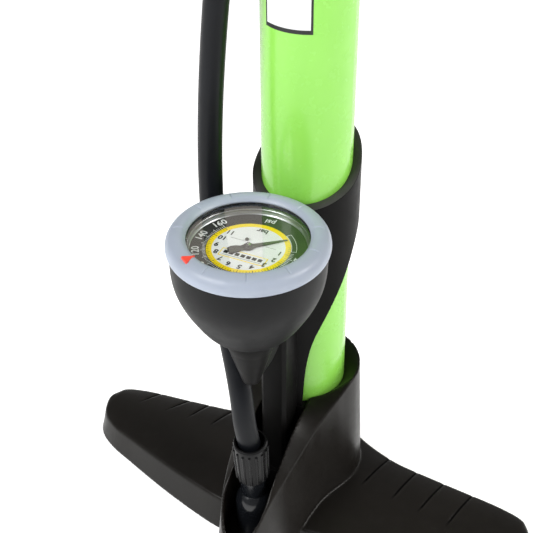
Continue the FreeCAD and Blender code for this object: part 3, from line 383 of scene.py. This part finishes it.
# ---------------------------------------------------- moulded base as a field
def smin(a, b, k):
    h = np.clip(0.5 + 0.5 * (b - a) / k, 0, 1)
    return b + (a - b) * h - k * h * (1 - h)


def smax(a, b, k):
    return -smin(-a, -b, k)


def closed_curve(half, steps=6):
    """Centripetal curve through half an outline and its mirror image."""
    pts = np.array(list(half) + [(-x, y) for x, y in reversed(half[1:-1])], float)
    n = len(pts)
    out = []
    for i in range(n):
        p0, p1, p2, p3 = pts[(i - 1) % n], pts[i], pts[(i + 1) % n], pts[(i + 2) % n]
        t0 = 0.0
        t1 = t0 + np.linalg.norm(p1 - p0) ** 0.5
        t2 = t1 + np.linalg.norm(p2 - p1) ** 0.5
        t3 = t2 + np.linalg.norm(p3 - p2) ** 0.5
        for s in range(steps):
            t = t1 + (t2 - t1) * s / steps
            a1 = (t1 - t) / (t1 - t0) * p0 + (t - t0) / (t1 - t0) * p1
            a2 = (t2 - t) / (t2 - t1) * p1 + (t - t1) / (t2 - t1) * p2
            a3 = (t3 - t) / (t3 - t2) * p2 + (t - t2) / (t3 - t2) * p3
            b1 = (t2 - t) / (t2 - t0) * a1 + (t - t0) / (t2 - t0) * a2
            b2 = (t3 - t) / (t3 - t1) * a2 + (t - t1) / (t3 - t1) * a3
            out.append((t2 - t) / (t2 - t1) * b1 + (t - t1) / (t2 - t1) * b2)
    return np.array(out)


def sdf_poly(x, y, P):
    d = np.full(np.shape(x), 1e12)
    inside = np.zeros(np.shape(x), bool)
    Q = np.roll(P, -1, 0)
    for (ax, ay), (bx, by) in zip(P, Q):
        ex, ey = bx - ax, by - ay
        l2 = ex * ex + ey * ey
        if l2 < 1e-12:
            continue
        wx, wy = x - ax, y - ay
        t = np.clip((wx * ex + wy * ey) / l2, 0, 1)
        d = np.minimum(d, (wx - t * ex) ** 2 + (wy - t * ey) ** 2)
        if abs(ey) > 1e-9:
            inside ^= ((ay <= y) != (by <= y)) & (x < ax + wy * ex / ey)
    return np.where(inside, -1.0, 1.0) * np.sqrt(d)


LOW = closed_curve([(0, 30.0), (15.0, 26.0), (26.0, 15.0), (30.0, 0.0), (27.8, -11.0), (24.8, -18.2), (21.9, -25.3),
                    (20.9, -30.3), (19.9, -36.1), (19.1, -42.2), (18.6, -47.7), (18.2, -53.0), (17.8, -57.0),
                    (17.0, -61.5), (15.3, -67.5), (9.5, -76.6), (0, -80.5)])
TOP = closed_curve([(0, 26.2), (13.1, 22.7), (22.7, 13.1), (26.2, 0.0), (23.3, -11.0), (20.9, -18.2), (18.9, -25.3),
                    (17.4, -30.3), (16.2, -36.1), (14.75, -42.2), (13.2, -47.7), (11.8, -53.0), (10.4, -57.0),
                    (9.0, -61.0), (7.3, -65.3), (4.4, -70.6), (0, -74.0)])
WING = closed_curve([(0, -46.5), (24.5, -45.4), (42.6, -41.1), (65.3, -33.9), (87.5, -25.7), (104.0, -19.0),
                     (113.5, -12.0), (118.6, -1.0), (118.2, 8.0), (112.0, 15.0), (100.0, 17.6), (70.0, 18.8),
                     (45.0, 20.5), (30.0, 25.0), (14.0, 32.5), (0, 34.0)])
TROUGH = closed_curve([(0, 6.0), (10.0, 4.0), (10.0, -14.0), (10.0, -32.0), (10.0, -48.0), (10.0, -60.0), (9.9, -65.0),
                       (9.0, -68.8), (7.2, -71.8), (4.2, -75.0), (0, -76.2)])
RIM_Y = [-96, -80, -74, -70, -66, -62, -57, -50, -42, -34, -27, -21, -16, -12.7, -9, -5, 0, 48]
RIM_Z = [12, 31.5, 40.2, 46.4, 51.8, 56.0, 60.4, 65.4, 70.1, 74.4, 76.6, 77.6, 78.6, 80.0, 82.0, 84.2, 86.0, 86.0]
RIM_M = [0, 0, 0, 0, 0, -0.4, -0.77, -0.88, -0.80, -0.68, -0.42, -0.18, -0.03, 0, 0, 0, 0, 0]


def smooth_table(ys, vs):
    """Cubic through the table, sampled finely, so that the rim has no kinks."""
    ys, vs = np.array(ys, float), np.array(vs, float)
    d = np.gradient(vs, ys)
    fy = np.linspace(ys[0], ys[-1], 1200)
    i = np.clip(np.searchsorted(ys, fy) - 1, 0, len(ys) - 2)
    h = ys[i + 1] - ys[i]
    t = (fy - ys[i]) / h
    f = ((1 + 2 * t) * (1 - t) ** 2 * vs[i] + t * (1 - t) ** 2 * h * d[i]
         + t * t * (3 - 2 * t) * vs[i + 1] + t * t * (t - 1) * h * d[i + 1])
    return fy, f


RZ = smooth_table(RIM_Y, RIM_Z)
RM = smooth_table(RIM_Y, RIM_M)
FRONT_X = [0, 24.5, 42.6, 65.3, 87.5, 104.0, 113.5, 118.6]
FRONT_Y = [-46.5, -45.4, -41.1, -33.9, -25.7, -19.0, -12.0, 2.0]
BACK_X = [0, 14.0, 30.0, 45.0, 70.0, 100.0, 112.0, 118.6]
BACK_Y = [34.0, 32.5, 25.0, 20.5, 18.8, 17.6, 15.0, 4.0]
CROWN_X = [0, 20, 30, 50, 70, 90, 105, 112, 119, 130]
CROWN_Z = [24.5, 24.2, 23.6, 21.8, 19.8, 17.6, 15.9, 15.0, 13.5, 11.5]


GROOVES = ((-98.7, 0.51), (-81.2, 0.53), (-66.6, 0.33), (-52.0, 0.29), (36.7, 0.20), (52.8, 0.18), (67.1, 0.20), (82.0, 0.20))


def plan(x, y):
    """What depends on x and y alone."""
    ax = np.abs(x)
    R = np.hypot(x, y)
    p = {"ax": ax, "y": y, "R": R}
    p["wing"] = sdf_poly(ax, y, WING)
    p["lo"] = sdf_poly(ax, y, LOW)
    p["hi"] = sdf_poly(ax, y, TOP)
    p["tr"] = sdf_poly(ax, y, TROUGH)
    zi = np.interp(y, *RZ)
    m = np.interp(y, *RM)
    zt = zi + m * np.maximum(ax - 10.0, 0)
    p["slope"] = np.sqrt(1 + np.abs(m) ** 2)
    p["top"] = smin(zt, 78.5 + (R - 19.0) * 1.0, 1.0)
    yf = np.interp(ax, FRONT_X, FRONT_Y)
    yb = np.interp(ax, BACK_X, BACK_Y)
    yr = np.clip((y - yf) / np.maximum(yb - yf, 1), -0.3, 1.3) * 2 - 1
    share = np.clip(ax / 118.0, 0, 1)
    drop = 3.0 + 3.4 * (1 - share)
    p["crown"] = np.interp(ax, CROWN_X, CROWN_Z) - drop * np.abs(yr) ** 2.2
    near = np.full(np.shape(x), 99.0)
    for g, lean in GROOVES:
        near = np.minimum(near, np.abs(x - g - lean * y))
    p["crown"] = p["crown"] - 0.40 * np.clip(1 - near / 1.2, 0, 1) * np.clip((y + 0.08 * x + 6.0) / 5.0, 0, 1)
    return p


def field(p, z):
    ax, y, R = p["ax"], p["y"], p["R"]
    edge = np.maximum(p["crown"] - 1.0, 5.0)
    side = p["wing"] + 3.0 * np.clip((z - 1.0) / edge, -0.2, 1.4)
    wing = smax(side, (z - p["crown"]) * 0.98, 1.3)
    s = (z - 1.0) / 90.0
    col = p["lo"] * (1 - s) + p["hi"] * s
    col = smax(col, (z - p["top"]) / p["slope"], 0.55)
    f = smin(col, wing, 1.2)
    f = smax(f, -np.maximum(p["tr"], 30.0 - z), 0.45)
    f = np.maximum(f, -np.maximum(R - 19.06, 18.0 - z))
    # hollow underside with its ribs and pad bosses
    keep = np.minimum(R - 29.0, np.maximum(ax - 17.0, y + 0.0))
    keep = np.minimum(keep, np.hypot(ax, y - 26.0) - 6.5)
    for rx in (44.0, 64.0, 84.0):
        keep = np.minimum(keep, np.abs(ax - rx) - 1.1)
    keep = np.minimum(keep, np.abs(y + 3.0) - 1.1)
    keep = np.minimum(keep, np.hypot(ax - 103.0, y + 6.0) - 8.0)
    keep = np.minimum(keep, np.hypot(ax - 103.0, y - 7.5) - 8.0)
    cave = np.maximum(np.maximum(side + 3.0, z - (p["crown"] - 3.2)), -keep)
    f = smax(f, -cave, 0.8)
    return smax(f, 1.0 - z, 0.5)


def surface_nets(F, origin, h):
    nx, ny, nz = F.shape
    offs = [(i, j, k) for i in (0, 1) for j in (0, 1) for k in (0, 1)]
    neg = np.zeros((nx - 1, ny - 1, nz - 1), np.int8)
    for i, j, k in offs:
        neg += F[i:nx - 1 + i, j:ny - 1 + j, k:nz - 1 + k] < 0
    mask = (neg > 0) & (neg < 8)
    cells = np.argwhere(mask)
    idx = np.full(mask.shape, -1, np.int64)
    idx[mask] = np.arange(len(cells))
    vals = np.stack([F[cells[:, 0] + i, cells[:, 1] + j, cells[:, 2] + k] for i, j, k in offs], 1)
    corner = np.array(offs, float)
    P = np.zeros((len(cells), 3))
    cnt = np.zeros(len(cells))
    for a in range(8):
        for b in range(a + 1, 8):
            if np.abs(corner[a] - corner[b]).sum() != 1:
                continue
            fa, fb = vals[:, a], vals[:, b]
            cr = (fa < 0) != (fb < 0)
            t = np.where(cr, fa / np.where(cr, fa - fb, 1), 0)
            P += np.where(cr[:, None], corner[a] + (corner[b] - corner[a]) * t[:, None], 0)
            cnt += cr
    V = origin + h * (cells + P / cnt[:, None])
    faces = []
    for axis in range(3):
        u, v = (axis + 1) % 3, (axis + 2) % 3
        sl0 = [slice(1, n - 1) for n in F.shape]
        sl1 = list(sl0)
        sl0[axis] = slice(0, F.shape[axis] - 1)
        sl1[axis] = slice(1, F.shape[axis])
        A, B = F[tuple(sl0)] < 0, F[tuple(sl1)] < 0
        e = np.argwhere(A != B)
        flip = A[tuple(e.T)]
        base = e.copy()
        base[:, u] += 1
        base[:, v] += 1
        quad = []
        for du, dv in ((-1, -1), (0, -1), (0, 0), (-1, 0)):
            c = base.copy()
            c[:, u] += du
            c[:, v] += dv
            quad.append(idx[c[:, 0], c[:, 1], c[:, 2]])
        q = np.stack(quad, 1)
        q[~flip] = q[~flip][:, ::-1]
        faces.append(q[(q >= 0).all(1)])
    return V, np.vstack(faces)


def build_base(h):
    nx = int(math.ceil(121.5 / h))
    xs = np.arange(0, nx + 1) * h
    ys = np.arange(-83.0, 36.5, h)
    zs = np.arange(-0.9, 89.0, h)
    X, Y = np.meshgrid(xs, ys, indexing="ij")
    p = {k: v[:, :, None] for k, v in plan(X, Y).items()}
    F = field(p, zs[None, None, :]).astype(np.float32)
    F = np.concatenate([F[::-1][:-1], F], 0)
    V, Q = surface_nets(F, np.array([-nx * h, ys[0], zs[0]]), h)
    # put every vertex on the exact surface
    for _ in range(3):
        e = 0.05
        f0 = field(plan(V[:, 0], V[:, 1]), V[:, 2])
        gx = (field(plan(V[:, 0] + e, V[:, 1]), V[:, 2]) - f0) / e
        gy = (field(plan(V[:, 0], V[:, 1] + e), V[:, 2]) - f0) / e
        gz = (field(plan(V[:, 0], V[:, 1]), V[:, 2] + e) - f0) / e
        g = np.stack([gx, gy, gz], 1)
        step = -f0[:, None] * g / np.maximum((g * g).sum(1), 0.25)[:, None]
        ln = np.linalg.norm(step, axis=1)
        step *= np.minimum(1, 0.4 * h / np.maximum(ln, 1e-9))[:, None]
        V = V + step * 0.9
    return V, Q


def base_material():
    """Moulded black with four shallow transverse grooves on each foot, their floors darkened in colour as painted
    shade.
    """
    m = M_BASE
    nt = m.node_tree
    bp = [n for n in nt.nodes if n.bl_idname == "ShaderNodeBump"][0]
    b = [n for n in nt.nodes if n.bl_idname == "ShaderNodeBsdfPrincipled"][0]
    c = coords(nt)
    sep = nt.nodes.new("ShaderNodeSeparateXYZ")
    nt.links.new(c, sep.inputs[0])
    x, y = sep.outputs[0], sep.outputs[1]
    d = None
    for g, lean in ((-0.0987, 0.51), (-0.0812, 0.53), (-0.0666, 0.33), (-0.0520, 0.29), (0.0367, 0.20), (0.0528, 0.18),
                    (0.0671, 0.20), (0.0820, 0.20)):
        line = math_node(nt, "ADD", g, math_node(nt, "MULTIPLY", y, lean))
        di = math_node(nt, "ABSOLUTE", math_node(nt, "SUBTRACT", x, line))
        d = di if d is None else math_node(nt, "MINIMUM", d, di)
    depth = span(nt, d, 0.00025, 0.0008, 1.0, 0.0)
    fade = span(nt, math_node(nt, "ADD", y, math_node(nt, "MULTIPLY", x, 0.08)), -0.006, -0.001, 0.0, 1.0)
    groove = math_node(nt, "MULTIPLY", depth, fade)
    groove = math_node(nt, "MULTIPLY", groove, span(nt, sep.outputs[2], 0.006, 0.009, 0.0, 1.0))
    b2 = nt.nodes.new("ShaderNodeBump")
    b2.inputs["Strength"].default_value = 0.35
    b2.inputs["Distance"].default_value = 0.00025
    b2.invert = True
    nt.links.new(groove, b2.inputs["Height"])
    nt.links.new(b2.outputs[0], bp.inputs["Normal"])
    link = b.inputs["Base Color"].links[0].from_socket
    # painted shade: the groove floors are mixed towards near black
    col = mix_rgb(nt, math_node(nt, "MULTIPLY", groove, 0.9), link, (0.002, 0.002, 0.002))
    nt.links.new(col, b.inputs["Base Color"])
    nt.links.new(span(nt, groove, 0.0, 1.0, 0.20, 0.02), b.inputs["Specular IOR Level"])


base_material()
V, Q = build_base(0.8)
pump_base = mesh_object("pump_base", V * MM, Q, M_BASE)
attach(pump_base, "stand")
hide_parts("base")

# --------------------------------------------------------------- dial graphics
GY = -55.6
PLATE_Z = 186.0


class Sheet:
    """Flat shapes in layers over the dial plate, gathered in one mesh."""

    def __init__(self):
        self.v, self.f, self.m = [], [], []

    def add(self, pts, faces, layer, mat):
        z = PLATE_Z + 0.03 + 0.035 * layer
        n = len(self.v)
        self.v += [((x) * MM, (y + GY) * MM, z * MM) for x, y in pts]
        self.f += [tuple(i + n for i in f) for f in faces]
        self.m += [mat] * len(faces)

    def arc(self, r0, r1, a0, a1, layer, mat, step=2.0):
        n = max(2, int(abs(a1 - a0) / step) + 1)
        pts, faces = [], []
        for i in range(n + 1):
            a = math.radians(a0 + (a1 - a0) * i / n)
            pts += [(r0 * math.cos(a), r0 * math.sin(a)), (r1 * math.cos(a), r1 * math.sin(a))]
            if i:
                k = 2 * i
                faces.append((k - 2, k - 1, k + 1, k))
        self.add(pts, faces, layer, mat)

    def tick(self, a, r0, r1, w, layer, mat):
        a = math.radians(a)
        c, s = math.cos(a), math.sin(a)
        q = [(r0, -w / 2), (r1, -w / 2), (r1, w / 2), (r0, w / 2)]
        self.add([(c * x - s * y, s * x + c * y) for x, y in q], [(0, 1, 2, 3)], layer, mat)

    def disc(self, r, layer, mat):
        pts = [(r * math.cos(math.radians(3 * i)), r * math.sin(math.radians(3 * i))) for i in range(120)]
        self.add(pts, [tuple(range(120))], layer, mat)

    def quad(self, x0, x1, y0, y1, layer, mat):
        self.add([(x0, y0), (x1, y0), (x1, y1), (x0, y1)], [(0, 1, 2, 3)], layer, mat)

    def text(self, word, x, y, turn, size, layer, mat, bold=0.012):
        cu = bpy.data.curves.new("t", "FONT")
        cu.body = word
        cu.size = 1.0
        cu.offset = bold
        cu.align_x = "CENTER"
        cu.align_y = "CENTER"
        cu.resolution_u = 5
        ob = bpy.data.objects.new("t", cu)
        scene.collection.objects.link(ob)
        bpy.context.view_layer.update()
        me = bpy.data.meshes.new_from_object(ob.evaluated_get(bpy.context.evaluated_depsgraph_get()))
        vs = np.array([v.co[:2] for v in me.vertices]).reshape(-1, 2)
        if len(vs):
            vs -= (vs.max(0) + vs.min(0)) / 2
            vs *= size / 0.7
            t = math.radians(turn)
            c, s = math.cos(t), math.sin(t)
            pts = [(x + c * a - s * b, y + s * a + c * b) for a, b in vs]
            self.add(pts, [tuple(f.vertices) for f in me.polygons], layer, mat)
        bpy.data.objects.remove(ob)
        bpy.data.curves.remove(cu)
        bpy.data.meshes.remove(me)


BLACK, WHITE, YELLOW, GREY = 0, 1, 2, 3
sh = Sheet()
sh.disc(14.95, 1, WHITE)
sh.arc(14.25, 16.4, 0, 360, 2, YELLOW)


def bar_angle(b):
    return 28.5 - 21.7 * b


for i in range(1, 57):
    b = i * 0.2
    long = i % 5 == 0
    sh.tick(bar_angle(b), 14.9 if long else 15.35, 16.3, 0.26 if long else 0.16, 3, BLACK)
for i in range(1, 12):
    a = math.radians(bar_angle(i))
    sh.text(str(i), 12.6 * math.cos(a), 12.6 * math.sin(a), 180, 2.45, 3, BLACK, 0.026)
for i in range(6, 81):
    p = i * 2
    long = p % 10 == 0
    sh.tick(bar_angle(p / 14.504), 16.55, 18.6 if long else 17.9, 0.30 if long else 0.22, 1, WHITE)
for p in range(20, 161, 20):
    a = bar_angle(p / 14.504)
    t = math.radians(a)
    sh.text(str(p), 20.5 * math.cos(t), 20.55 * math.sin(t), a - 90, 2.95, 1, WHITE, 0.024)
sh.text("psi", 0.1, 19.9, 180, 2.75, 1, WHITE, 0.022)
sh.text("bar", 0.0, 12.2, 180, 2.5, 3, BLACK, 0.024)
# zero zone, an outlined block
sh.arc(16.5, 16.72, 15, 53, 1, WHITE)
sh.arc(18.4, 18.65, 15, 53, 1, WHITE)
for a in (15.4, 52.6):
    sh.tick(a, 16.5, 18.6, 0.25, 1, WHITE)
# plain framed panel and two faint lines where a maker's print would be
sh.quad(-9.0, 10.2, -8.7, -3.6, 2, YELLOW)
sh.quad(-8.6, 9.8, -8.3, -4.0, 3, WHITE)
for i in range(7):
    sh.quad(-7.6 + 2.4 * i, -5.9 + 2.4 * i, -6.7, -4.9, 4, BLACK)
sh.quad(-7.6, 8.5, -7.7, -7.35, 4, GREY)
sh.quad(-9.4, -3.9, 3.45, 3.75, 2, GREY)
sh.quad(5.6, 10.0, 3.2, 3.5, 2, GREY)
face = mesh_object("dial_print", sh.v, sh.f, [M_INK, M_WHITE, M_YELLOW, M_GREYINK], smooth=False, index=sh.m)
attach(face, "stand")


# ------------------------------------------------- lathe pieces on the gauge
def lathe(name, prof, mats, index=None, n=144, cx=0.0, cy=0.0, closed=True):
    verts, faces, mi = [], [], []
    m = len(prof)
    for i in range(n):
        a = 2 * math.pi * i / n
        c, s = math.cos(a), math.sin(a)
        for r, z in prof:
            verts.append(((cx + r * c) * MM, (cy + r * s) * MM, z * MM))
    last = m if closed else m - 1
    for i in range(n):
        j = (i + 1) % n
        for k in range(last):
            k2 = (k + 1) % m
            faces.append((i * m + k, j * m + k, j * m + k2, i * m + k2))
            mi.append(index[k] if index else 0)
    return mesh_object(name, verts, faces, mats, index=mi)


# the bright inner rim is a stepped pressing, with a black gasket above it
rim_prof = [(24.65, 189.15), (24.65, 186.0), (22.95, 186.0), (22.75, 186.12), (22.75, 186.3), (22.95, 186.42),
            (23.12, 186.6), (23.2, 187.0), (23.3, 187.4), (23.45, 187.6), (23.36, 187.78), (23.3, 188.0), (23.36, 188.3),
            (23.5, 188.55), (23.72, 188.7), (23.72, 189.1), (23.9, 189.15)]
rim = lathe("inner_rim", rim_prof, [M_CHROME, M_GASKET], index=[0] * 12 + [0, 1, 1, 1, 1], cy=GY)
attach(rim, "stand")
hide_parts("dial_rim")
gasket = lathe("glass_gasket", [(24.9, 190.86), (24.95, 191.05), (24.6, 191.08), (24.1, 190.98), (23.7, 190.9),
                                (23.72, 190.84), (24.2, 190.82)], [M_GASKET], cy=GY)
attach(gasket, "stand")

# soft ring: rounded, with faint radial nicks and none beside the marker
def soft_ring():
    out = [(30.8, 185.9), (31.6, 186.5), (32.0, 188.2), (31.6, 190.3), (30.3, 192.1), (28.2, 193.1), (26.2, 193.3),
           (24.9, 192.8), (23.95, 191.8)]
    pts = np.array([out[0]] + out + [out[-1]], float)
    prof = []
    for i in range(1, len(pts) - 2):
        for s in range(5):
            t = s / 5
            p0, p1, p2, p3 = pts[i - 1], pts[i], pts[i + 1], pts[i + 2]
            prof.append(0.5 * (2 * p1 + (p2 - p0) * t + (2 * p0 - 5 * p1 + 4 * p2 - p3) * t * t
                               + (3 * p1 - p0 - 3 * p2 + p3) * t ** 3))
    prof += [pts[-1], (23.95, 191.1), (26.06, 191.1), (26.06, 186.5), (26.6, 185.9)]
    prof = np.array(prof, float)
    n = 990
    ang = np.arange(n) * 2 * np.pi / n
    A, R = np.meshgrid(ang, prof[:, 0], indexing="ij")
    Z = np.repeat(prof[None, :, 1], n, 0).copy()
    step = 2 * np.pi / 11
    off = (A + step / 2) % step - step / 2
    near = np.abs((A - math.radians(242.0) + np.pi) % (2 * np.pi) - np.pi) < math.radians(17)
    across = np.clip(1 - np.abs(off * R) / 0.42, 0, 1)
    along = np.clip((R - 24.9) / 0.6, 0, 1) * np.clip((29.9 - R) / 0.8, 0, 1)
    Z -= np.where(near | (Z < 191.5), 0, 0.40 * across * along)
    V = np.stack([R * np.cos(A) * MM, (R * np.sin(A) + GY) * MM, Z * MM], -1).reshape(-1, 3)
    m = len(prof)
    i = np.arange(n)[:, None]
    k = np.arange(m)[None, :]
    F = np.stack(np.broadcast_arrays(i * m + k, ((i + 1) % n) * m + k, ((i + 1) % n) * m + (k + 1) % m,
                                     i * m + (k + 1) % m), -1).reshape(-1, 4)
    return V, F


V, F = soft_ring()
bezel = mesh_object("soft_ring", V, F, M_RING)
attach(bezel, "bezel")
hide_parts("bezel_ring")

# marker: a small wedge let into the top of the ring
def marker():
    cu = [(24.35, 0.0), (29.0, 2.05), (29.5, 1.75), (29.2, -1.75), (28.7, -2.05)]
    t = math.radians(242.0)
    v = []
    for z in (192.2, 193.62):
        for r, w in cu:
            v.append(((r * math.cos(t) - w * math.sin(t)) * MM, (r * math.sin(t) + w * math.cos(t) + GY) * MM,
                      (z - (0.45 if z > 193 and r < 25 else 0)) * MM))
    n = len(cu)
    return v, [tuple(range(n))[::-1], tuple(range(n, 2 * n))] + [(i, (i + 1) % n, n + (i + 1) % n, n + i) for i in range(n)]


mv, mf = marker()
mk = mesh_object("ring_marker", mv, mf, M_MARK, smooth=False)
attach(mk, "bezel")
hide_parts("target_marker")

# small rest pin of the needle
pin = lathe("rest_pin", [(0.0, 187.0), (0.45, 186.98), (0.68, 186.8), (0.72, 186.5), (0.72, 186.2)], [M_NEEDLE],
            cx=-2.8, cy=GY + 4.5, n=32, closed=False)
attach(pin, "stand")

# needle hub cap and its light dot
hub = lathe("needle_hub", [(0.0, 188.05), (0.55, 188.04), (1.0, 187.92), (1.25, 187.7), (1.32, 187.4), (1.32, 187.0),
                           (1.9, 186.97), (2.2, 186.93), (2.2, 186.87), (0.0, 186.87)], [M_NEEDLE, M_STEEL],
            index=[1, 1] + [0] * 8, cy=GY, n=48, closed=False)
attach(hub, "needle")


# ------------------------------------------------------------ barrel stripes
def on_barrel(name, patches, mats, r=19.03):
    """Thin decal: patches are (phi0, phi1, z0, z1, layer, material)."""
    v, f, mi = [], [], []
    for a0, a1, z0, z1, layer, m in patches:
        n = max(2, int(abs(a1 - a0) / 3))
        nz = max(1, int((z1 - z0) / 6))
        rr = r + 0.035 * layer
        k = len(v)
        for i in range(n + 1):
            a = math.radians(a0 + (a1 - a0) * i / n)
            for j in range(nz + 1):
                v.append((rr * math.cos(a) * MM, rr * math.sin(a) * MM, (z0 + (z1 - z0) * j / nz) * MM))
        for i in range(n):
            for j in range(nz):
                p = k + i * (nz + 1) + j
                f.append((p, p + nz + 1, p + nz + 2, p + 1))
                mi.append(m)
    return mesh_object(name, v, f, mats, index=mi)


stripes = [(-124, -62, 259.5, 470, 0, 0), (-121.4, -64.6, 261.2, 468, 1, 1)]
for i in range(5):
    stripes.append((-116, -70, 296 + 34 * i, 306 + 34 * i, 2, 0))
label = on_barrel("barrel_panel", stripes, [M_INK, M_WHITE])
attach(label, "stand")

# upper rim of the bracket, a slim crowned strip that follows its oblique edge, coloured lighter than the bracket as
# painted light falling from above
M_RIM_PAINTED_LIGHT = surface("bracket_rim_painted_light", (0.034, 0.033, 0.031), rough=0.55, var=0.15, patch=60, grain=2600, bump=0.2, dist=0.00006)
TOP_Y = [-22.7, -14, -4, 6, 14, 22.7]
TOP_Z = [183.3, 186.6, 190.6, 196.5, 202.4, 207.0]
ry, rz = smooth_table(TOP_Y, TOP_Z)
rv, rf = [], []
RN = 240
for i in range(RN):
    a = 2 * math.pi * i / RN
    for r, up in ((19.15, 0.10), (19.8, 0.32), (20.9, 0.42), (22.0, 0.32), (22.62, 0.05)):
        yy = r * math.sin(a)
        rv.append((r * math.cos(a) * MM, yy * MM, (float(np.interp(yy, ry, rz)) + up) * MM))
for i in range(RN):
    j = (i + 1) % RN
    for k in range(4):
        rf.append((i * 5 + k, i * 5 + k + 1, j * 5 + k + 1, j * 5 + k))
rimo = mesh_object("bracket_edge", rv, rf, M_RIM_PAINTED_LIGHT)
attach(rimo, "stand")

# --------------------------------------------------------- stage and lighting
floor = mesh_object("stage_floor", [(-6, -6, 0), (6, -6, 0), (6, 6, 0), (-6, 6, 0)], [(0, 1, 2, 3)], [], smooth=False)
fm, fnt, fb = new_mat("stage_white")
fb.inputs["Base Color"].default_value = (0.93, 0.93, 0.93, 1)
fb.inputs["Roughness"].default_value = 0.9
fb.inputs["Specular IOR Level"].default_value = 0.1
fb.inputs["Emission Color"].default_value = (1, 1, 1, 1)
fb.inputs["Emission Strength"].default_value = 0.62
floor.data.materials.append(fm)

world = bpy.data.worlds.new("studio")
scene.world = world
world.use_nodes = True
wn = world.node_tree
wn.nodes.clear()
wo = wn.nodes.new("ShaderNodeOutputWorld")
bg = wn.nodes.new("ShaderNodeBackground")
tc = wn.nodes.new("ShaderNodeTexCoord")
sx = wn.nodes.new("ShaderNodeSeparateXYZ")
wn.links.new(tc.outputs["Generated"], sx.inputs[0])
mr = wn.nodes.new("ShaderNodeMapRange")
mr.inputs["From Min"].default_value = 0.0
mr.inputs["From Max"].default_value = 0.9
mr.inputs["To Min"].default_value = 0.36
mr.inputs["To Max"].default_value = 0.20
wn.links.new(sx.outputs[2], mr.inputs["Value"])
wn.links.new(mr.outputs[0], bg.inputs["Color"])
bg.inputs["Strength"].default_value = 0.85
wn.links.new(bg.outputs[0], wo.inputs[0])


def area(name, loc, target, size, power, colour=(1, 1, 1)):
    d = bpy.data.lights.new(name, "AREA")
    d.shape = "RECTANGLE"
    d.size, d.size_y = size
    d.energy = power
    d.color = colour
    o = bpy.data.objects.new(name, d)
    o.location = loc
    o.rotation_euler = (Vector(target) - Vector(loc)).to_track_quat("-Z", "Y").to_euler()
    scene.collection.objects.link(o)
    return o


area("key", (-0.55, -1.0, 1.05), (0, -0.02, 0.12), (0.55, 0.55), 16.0)
area("side", (0.95, 0.22, 0.92), (0, -0.03, 0.08), (0.40, 0.40), 9.0, (1.0, 0.98, 0.95))
area("card", (-0.419, 0.813, 0.904), (0, -0.0556, 0.19), (0.40, 0.40), 0.42, (1.0, 0.89, 0.78))
